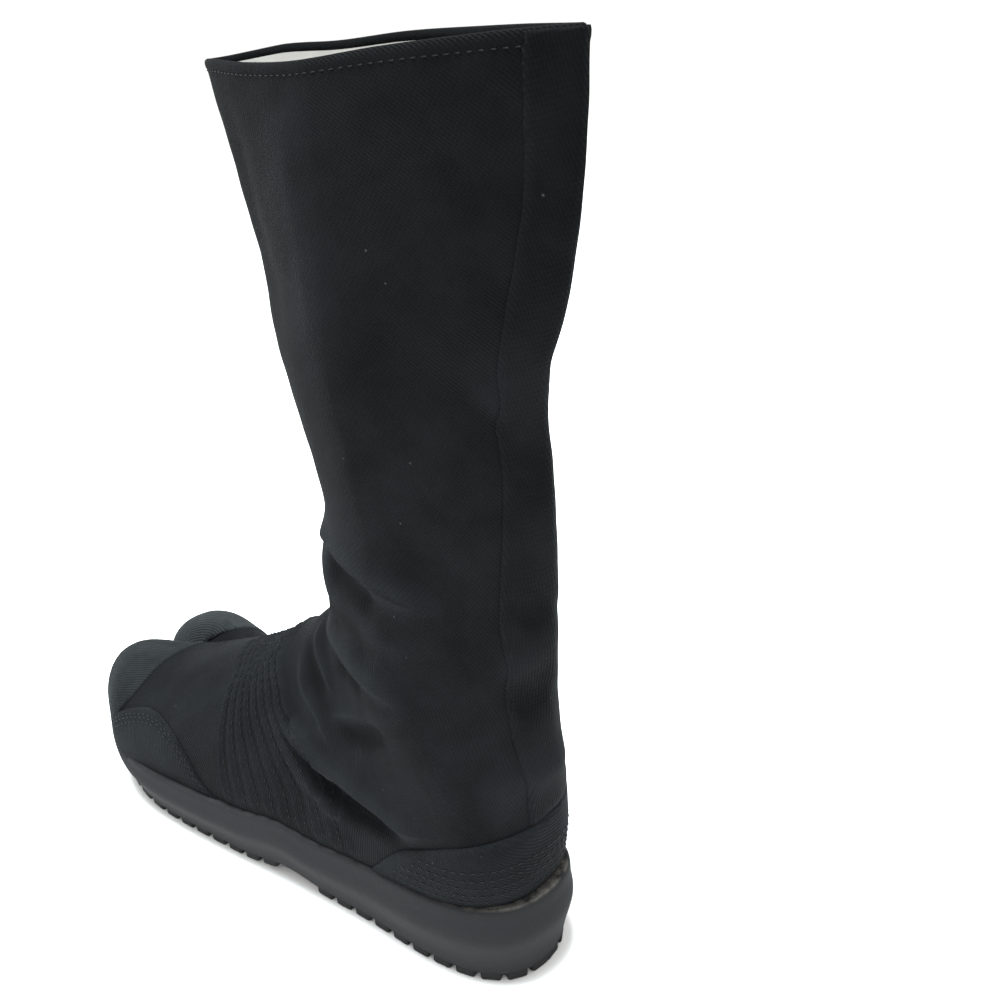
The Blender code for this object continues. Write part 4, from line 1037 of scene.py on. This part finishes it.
def build_big_toe():
    """Closed form of the big toe's pocket, its rear end sunk in the vamp."""
    table = sections(BIG_TOE)
    table[-1, [2, 5]] = table[-1, [2, 5]].mean()
    grid = skin(table, ((0, len(table) - 1, TOE_PITCH),), TOE_AROUND, relief=False)
    map_v = np.repeat(grid["path"][:, None], grid["points"].shape[1], axis=1)
    mesh, _, _ = wrap_grid("big_toe", grid["points"], grid["arcs"] + TOE_MAP_START, map_v)
    add_float(mesh, "wear_and_light", np.zeros(len(mesh.vertices)))
    shape = reopened(mesh)
    bmesh.ops.remove_doubles(shape, verts=shape.verts, dist=WELD)
    bmesh.ops.recalc_face_normals(shape, faces=shape.faces)
    finish_piece("big_toe_pocket", shape, [black_twill])
    return grid


toe_skin = build_big_toe()


# Heel band
# Black canvas foxing round the heel, laid over the upper, turned under at its edge and sewn down with five
# rows of black thread level with the sole's edge. Its top line is given for the outer and the inner side.
BAND_THICKNESS = 0.0012
# Share along the boot, and height as a share of the instep's
BAND_OUTER = ((0.290, 0.215), (0.262, 0.262), (0.190, 0.425), (0.120, 0.514), (0.065, 0.556),
              (-0.040, 0.600))
BAND_INNER = ((0.285, 0.235), (0.262, 0.300), (0.205, 0.430), (0.140, 0.505), (0.090, 0.560),
              (-0.040, 0.655))
BAND_TURN = (-0.06, 0.16)
BAND_FRONT = 0.30
BAND_ROWS = (0.0045, 0.0085, 0.0125, 0.0165, 0.0205)
BAND_ROW_END = 0.26
BAND_MARGIN = 0.0022
EDGE_STEPS = 6
# All second layers of cloth: gap over the upper, and their edges pressed down, sunk in and worn pale
CLOTH_GAP = 0.0001
EDGE_PRESSED = 0.72
EDGE_SINK = 0.0006
EDGE_WEAR = 0.12
SOLE_OVERLAP = 0.003
# Edge points are drawn onto the region's line in a few rounds, each probed and moved by this much
PROBE_STEP = 0.0002
EDGE_REACH = 0.0012
EDGE_ROUNDS = 4
LEAST_SLOPE = 0.25
# Signed distance given to all places that can't lie in a region
OUTSIDE = -0.01


def side_line(points):
    """Edge line seen from the side, in metres, y rising."""
    line = np.array([(along_to_y(along), share * INSTEP_HEIGHT) for along, share in points])
    return smooth_line(line[np.argsort(line[:, 0])], EDGE_STEPS)


def under_line(points, line):
    """Signed distance to an edge line seen from the side, positive below it."""
    gap, _ = line_distance(points[..., 1:3], line)
    return np.where(points[..., 2] < np.interp(points[..., 1], line[:, 0], line[:, 1]), gap, -gap)


def band_region(points):
    """Inside the heel band: below its top line, which drops towards the inner side."""
    share = np.clip((points[..., 0] / BALL_WIDTH - BAND_TURN[0]) / (BAND_TURN[1] - BAND_TURN[0]), 0, 1)
    outer = under_line(points, side_line(BAND_OUTER))
    inner = under_line(points, side_line(BAND_INNER))
    inside = outer + (inner - outer) * share
    return np.where(points[..., 1] > along_to_y(BAND_FRONT), OUTSIDE, inside)


def overlay(name, grid, region, thickness, material, node):
    """Layer of cloth over a skin where region is positive, its turned edge laid on the region's line."""
    points, outward = grid["points"].copy(), grid["outward"]
    kept = region(points) > 0
    wide = np.pad(kept, 1, mode="edge")
    rows, columns = kept.shape
    around = [wide[1 + down:1 + down + rows, 1 + across:1 + across + columns]
              for down in (-1, 0, 1) for across in (-1, 0, 1)]
    edge = kept & ~np.logical_and.reduce(around)
    rim = points[edge]
    facing = outward[edge]
    for _ in range(EDGE_ROUNDS):
        inside = region(rim)
        moves = np.eye(3) * PROBE_STEP
        slope = np.stack([(region(rim + move) - inside) / PROBE_STEP for move in moves], axis=-1)
        slope = slope - facing * (slope * facing).sum(-1, keepdims=True)
        steep = np.maximum((slope ** 2).sum(-1), LEAST_SLOPE)
        rim = rim - (np.clip(inside, -EDGE_REACH, EDGE_REACH) / steep)[..., None] * slope
    points[edge] = rim
    depth = thickness(points) if callable(thickness) else np.full(kept.shape, thickness)
    lift = np.where(edge, EDGE_PRESSED, 1.0) * depth + CLOTH_GAP
    laid = points + outward * lift[..., None]
    path = np.repeat(grid["path"][:, None], columns, axis=1)
    mesh, across, down = wrap_grid(name, laid, grid["arcs"], path)
    # Paleness from wear and painted light on crests and in hollows, with wear along the turned edges
    wear_and_light = wear_and_light_from(grid["height"]) + np.where(edge, EDGE_WEAR, 0.0)
    add_float(mesh, "wear_and_light", wear_and_light[down, across])
    depths = outward * (lift + EDGE_SINK)[..., None]
    mesh.attributes.new("sink", "FLOAT_VECTOR", "POINT").data.foreach_set(
        "vector", depths[down, across].astype(np.float32).ravel())
    keep = kept[down, across]
    places = laid[down, across]
    keep &= places[:, 2] > sole_top(places[:, 1]) - SOLE_OVERLAP
    shape = reopened(mesh)
    dropped = [vert for vert, stays in zip(shape.verts, keep) if not stays]
    bmesh.ops.delete(shape, geom=dropped, context="VERTS")
    bmesh.ops.remove_doubles(shape, verts=shape.verts, dist=WELD)
    loose = [vert for vert in shape.verts if not vert.link_faces]
    bmesh.ops.delete(shape, geom=loose, context="VERTS")
    sink = shape.verts.layers.float_vector["sink"]
    border = [item for item in shape.edges if item.is_boundary]
    sunk = bmesh.ops.extrude_edge_only(shape, edges=border)["geom"]
    for vert in [item for item in sunk if isinstance(item, bmesh.types.BMVert)]:
        vert.co -= vert[sink]
    bmesh.ops.recalc_face_normals(shape, faces=shape.faces)
    return finish_piece(name, shape, [material], [node])


def band_stitches():
    """Rows round the heel, level with the sole's top edge."""
    curve, _ = sole_edge(OUTLINE_STEPS)
    curve = np.roll(curve, len(curve) // 2, axis=0)
    lines = []
    for height in BAND_ROWS:
        line = np.column_stack((curve, sole_top(curve[:, 1]) + height))
        line = line[(band_region(line) > BAND_MARGIN) & (line[:, 1] < along_to_y(BAND_ROW_END))]
        lines.append(line)
    return lines


band_canvas = twill("band_canvas", (0.0043, 0.0046, 0.0051), (0.0150, 0.0168, 0.0183), 84)
heel_band = overlay("heel_band_cloth", foot_skin, band_region, BAND_THICKNESS, band_canvas,
                    "heel_band")
stitch_rows("band_stitches", band_stitches(), heel_band, black_thread)


# Back flap
# The rear inner panel of doubled black twill, which closes over the front one. It is sewn flat into the
# back seam, runs down under the heel band, and has one row of thread behind its free front edge.
FLAP_THICKNESS = 0.0013
SEAM_THICKNESS = 0.0004
SEAM_WIDTH = 0.016
UNDER_BAND = 0.0006
# On the outer side of the first place, none of it lies in front of the second one
FLAP_NEAREST = (0.004, 0.030)
FLAP_ROW_INSET = 0.006
FLAP_ROW_TOP = 0.006
FLAP_ROW_STEPS = 8
# Place across the boot from which its stitches are sought
FLAP_FACE = 0.050
# Name, share of the rise over the instep, back seam across, free edge along
BACK_FLAP = (
    ("point on the heel band", -0.260, -0.085, 0.070),
    ("foot of the flap", -0.190, -0.088, 0.110),
    ("end of the free edge", 0.050, -0.089, 0.140),
    ("ankle", 0.155, -0.090, 0.156),
    ("shin", 0.380, -0.043, 0.176),
    ("calf", 0.600, -0.038, 0.188),
    ("calf high", 0.800, -0.009, 0.184),
    ("over the collar", 1.060, 0.020, 0.176),
)


def flap_rows():
    """Height in metres of each row of the flap's table, with its seam across and free edge along."""
    rows = np.array([row[1:] for row in BACK_FLAP])
    rows[:, 0] = INSTEP_HEIGHT + rows[:, 0] * (BOOT_HEIGHT - INSTEP_HEIGHT)
    return rows


def flap_region(points):
    """Inside the flap: between the back seam and the free edge, down to the heel band."""
    curve = smooth_line(flap_rows(), EDGE_STEPS)
    seam = np.interp(points[..., 2], curve[:, 0], curve[:, 1]) * BALL_WIDTH
    edge = along_to_y(np.interp(points[..., 2], curve[:, 0], curve[:, 2]))
    inside = np.minimum(points[..., 0] - seam, edge - points[..., 1])
    outer_front = (points[..., 0] < FLAP_NEAREST[0]) & (points[..., 1] > FLAP_NEAREST[1])
    inside = np.where(outer_front, OUTSIDE, inside)
    return np.minimum(inside, -band_region(points) + UNDER_BAND)


def flap_thickness(points):
    """The flap is stitched flat into the back seam and stands free at its front edge."""
    rows = flap_rows()
    seam = np.interp(points[..., 2], rows[:, 0], rows[:, 1]) * BALL_WIDTH
    share = np.clip((points[..., 0] - seam) / SEAM_WIDTH, 0, 1)
    return SEAM_THICKNESS + (FLAP_THICKNESS - SEAM_THICKNESS) * share


def flap_stitches():
    """One row behind the free edge of the flap."""
    curve = smooth_line(flap_rows()[2:], FLAP_ROW_STEPS)
    curve = curve[curve[:, 0] < BOOT_HEIGHT - FLAP_ROW_TOP]
    across = np.full(len(curve), FLAP_FACE)
    return [np.column_stack((across, along_to_y(curve[:, 2]) - FLAP_ROW_INSET, curve[:, 0]))]


flap_twill = twill("flap_twill", (0.0037, 0.0039, 0.0042), (0.0130, 0.0141, 0.0157), 12)
back_flap = overlay("back_flap_cloth", foot_skin, flap_region, flap_thickness, flap_twill,
                    "back_flap")
stitch_rows("flap_stitches", flap_stitches(), back_flap, black_thread)


# Toe guard
# A patch of the heel band's canvas on the outer side of the forefoot, cut to an arc, its lower edge held
# by the sole. Three rows of black thread follow its turned edge.
PATCH_THICKNESS = 0.0006
# Share along the boot, and height as a share of the instep's
GUARD_EDGE = ((0.560, 0.150), (0.592, 0.207), (0.614, 0.240), (0.637, 0.284), (0.655, 0.340), (0.677, 0.388),
              (0.701, 0.427), (0.738, 0.455), (0.772, 0.454), (0.798, 0.438), (0.826, 0.413), (0.854, 0.380),
              (0.882, 0.338), (0.905, 0.300))
# It lies on the outer side of this place across the boot
GUARD_SIDE = -0.012
GUARD_ROWS = (0.0013, 0.0031, 0.0056)
GUARD_SOLE_GAP = 0.001
# Place across the boot from which its stitches are sought
GUARD_FACE = -0.042


def guard_region(points):
    """Inside the guard: below its arc, on the outer side."""
    inside = under_line(points, side_line(GUARD_EDGE))
    beside = (points[..., 0] < GUARD_SIDE) & (points[..., 1] < along_to_y(GUARD_EDGE[-1][0]))
    return np.where(beside, inside, OUTSIDE)


def guard_stitches():
    """Rows inside the arc of the guard."""
    line = side_line(GUARD_EDGE)
    run = np.gradient(line, axis=0)
    down = np.column_stack((run[:, 1], -run[:, 0])) / np.linalg.norm(run, axis=1)[:, None]
    lines = []
    for inset in GUARD_ROWS:
        moved = line + down * inset
        moved = moved[moved[:, 1] > sole_top(moved[:, 0]) + GUARD_SOLE_GAP]
        lines.append(np.column_stack((np.full(len(moved), GUARD_FACE), moved)))
    return lines


toe_guard = overlay("toe_guard_cloth", foot_skin, guard_region, PATCH_THICKNESS, band_canvas,
                    "toe_guard")
stitch_rows("guard_stitches", guard_stitches(), toe_guard, black_thread)


# Toe caps
# The front panels of both toe pockets, of a paler twill with its ribs along the boot, partly worn and partly
# painted light falling on the upward-facing toes; the big toe's cap is a paler copy still, a painted
# highlight. Each is joined to the cloth behind it by a seam across the toes, given in plan and in metres.
CAP_LINE = ((-0.0500, 0.2150), (-0.0394, 0.1903), (-0.0371, 0.1849), (-0.0338, 0.1800), (-0.0290, 0.1770),
            (-0.0231, 0.1760), (-0.0148, 0.1750), (-0.0060, 0.1746), (0.0060, 0.1742), (0.0300, 0.1740))
BIG_CAP_LINE = ((0.0090, 0.2050), (0.0128, 0.1890), (0.0137, 0.1827), (0.0153, 0.1765), (0.0193, 0.1708),
                (0.0258, 0.1676), (0.0350, 0.1655), (0.0550, 0.1640))
SEAM_STEPS = 5


def before_seam(line):
    """Region in front of a seam across a toe pocket, its line given in plan."""
    line = smooth_line(line, SEAM_STEPS)

    def inside(points):
        gap, _ = line_distance(points[..., :2], line)
        return np.where(points[..., 1] > np.interp(points[..., 0], line[:, 0], line[:, 1]), gap, -gap)

    return inside


# Painted light: the caps' twill is paler than the vamp's, partly wear and partly light on the upward-facing
# toes; the big toe's cap is a brighter copy, a painted highlight
cap_twill_worn_and_lit = twill("cap_twill_worn_and_lit", (0.0070, 0.0078, 0.0084), (0.0290, 0.0335, 0.0355), 8, 0.00125)
big_cap_twill_lit = twill("big_cap_twill_lit", (0.0100, 0.0110, 0.0116), (0.0410, 0.0465, 0.0480), 8, 0.00135)
overlay("toe_cap_four_cloth", foot_skin, before_seam(CAP_LINE), PATCH_THICKNESS, cap_twill_worn_and_lit,
        "toe_cap_four")
overlay("toe_cap_big_cloth", toe_skin, before_seam(BIG_CAP_LINE), PATCH_THICKNESS, big_cap_twill_lit,
        "toe_cap_big")


# Studio
# A plain pale floor that reaches past the view, soft white light from all round, one large lamp nearly
# overhead, and a weak one from behind the outer side.
FLOOR_REACH = 40.0
FLOOR_COLOUR = (0.92, 0.915, 0.90, 1)
SKY_STRENGTH = 1.12
# Name, place, size, power in watts
LAMPS = (
    ("window", (-0.15, 0.25, 2.2), 0.9, 125.0),
    ("bounce", (-1.2, -1.0, 1.3), 1.4, 3.0),
)
LAMP_COLOUR = (0.88, 0.965, 1.0)
LAMP_TARGET = (0.0, 0.05, 0.1)


def studio():
    """Floor, sky and two soft lamps."""
    shape = bmesh.new()
    bmesh.ops.create_grid(shape, x_segments=2, y_segments=2, size=FLOOR_REACH)
    mesh = bpy.data.meshes.new("floor")
    shape.to_mesh(mesh)
    shape.free()
    floor = bpy.data.objects.new("floor", mesh)
    bpy.context.scene.collection.objects.link(floor)
    paint, _, _ = new_material("floor_white", Base_Color=FLOOR_COLOUR, Roughness=0.9)
    mesh.materials.append(paint)
    world = bpy.data.worlds.new("white_room")
    world.use_nodes = True
    sky = world.node_tree.nodes["Background"]
    sky.inputs["Color"].default_value = (1.0, 1.0, 1.0, 1)
    sky.inputs["Strength"].default_value = SKY_STRENGTH
    bpy.context.scene.world = world
    for name, place, size, power in LAMPS:
        lamp = bpy.data.lights.new(name, "AREA")
        lamp.size = size
        lamp.energy = power
        lamp.color = LAMP_COLOUR
        lamp_object = bpy.data.objects.new(name, lamp)
        lamp_object.location = place
        aim = Vector(LAMP_TARGET) - Vector(place)
        lamp_object.rotation_euler = aim.to_track_quat("-Z", "Y").to_euler()
        bpy.context.scene.collection.objects.link(lamp_object)
    bpy.context.scene.view_settings.view_transform = "Standard"


studio()
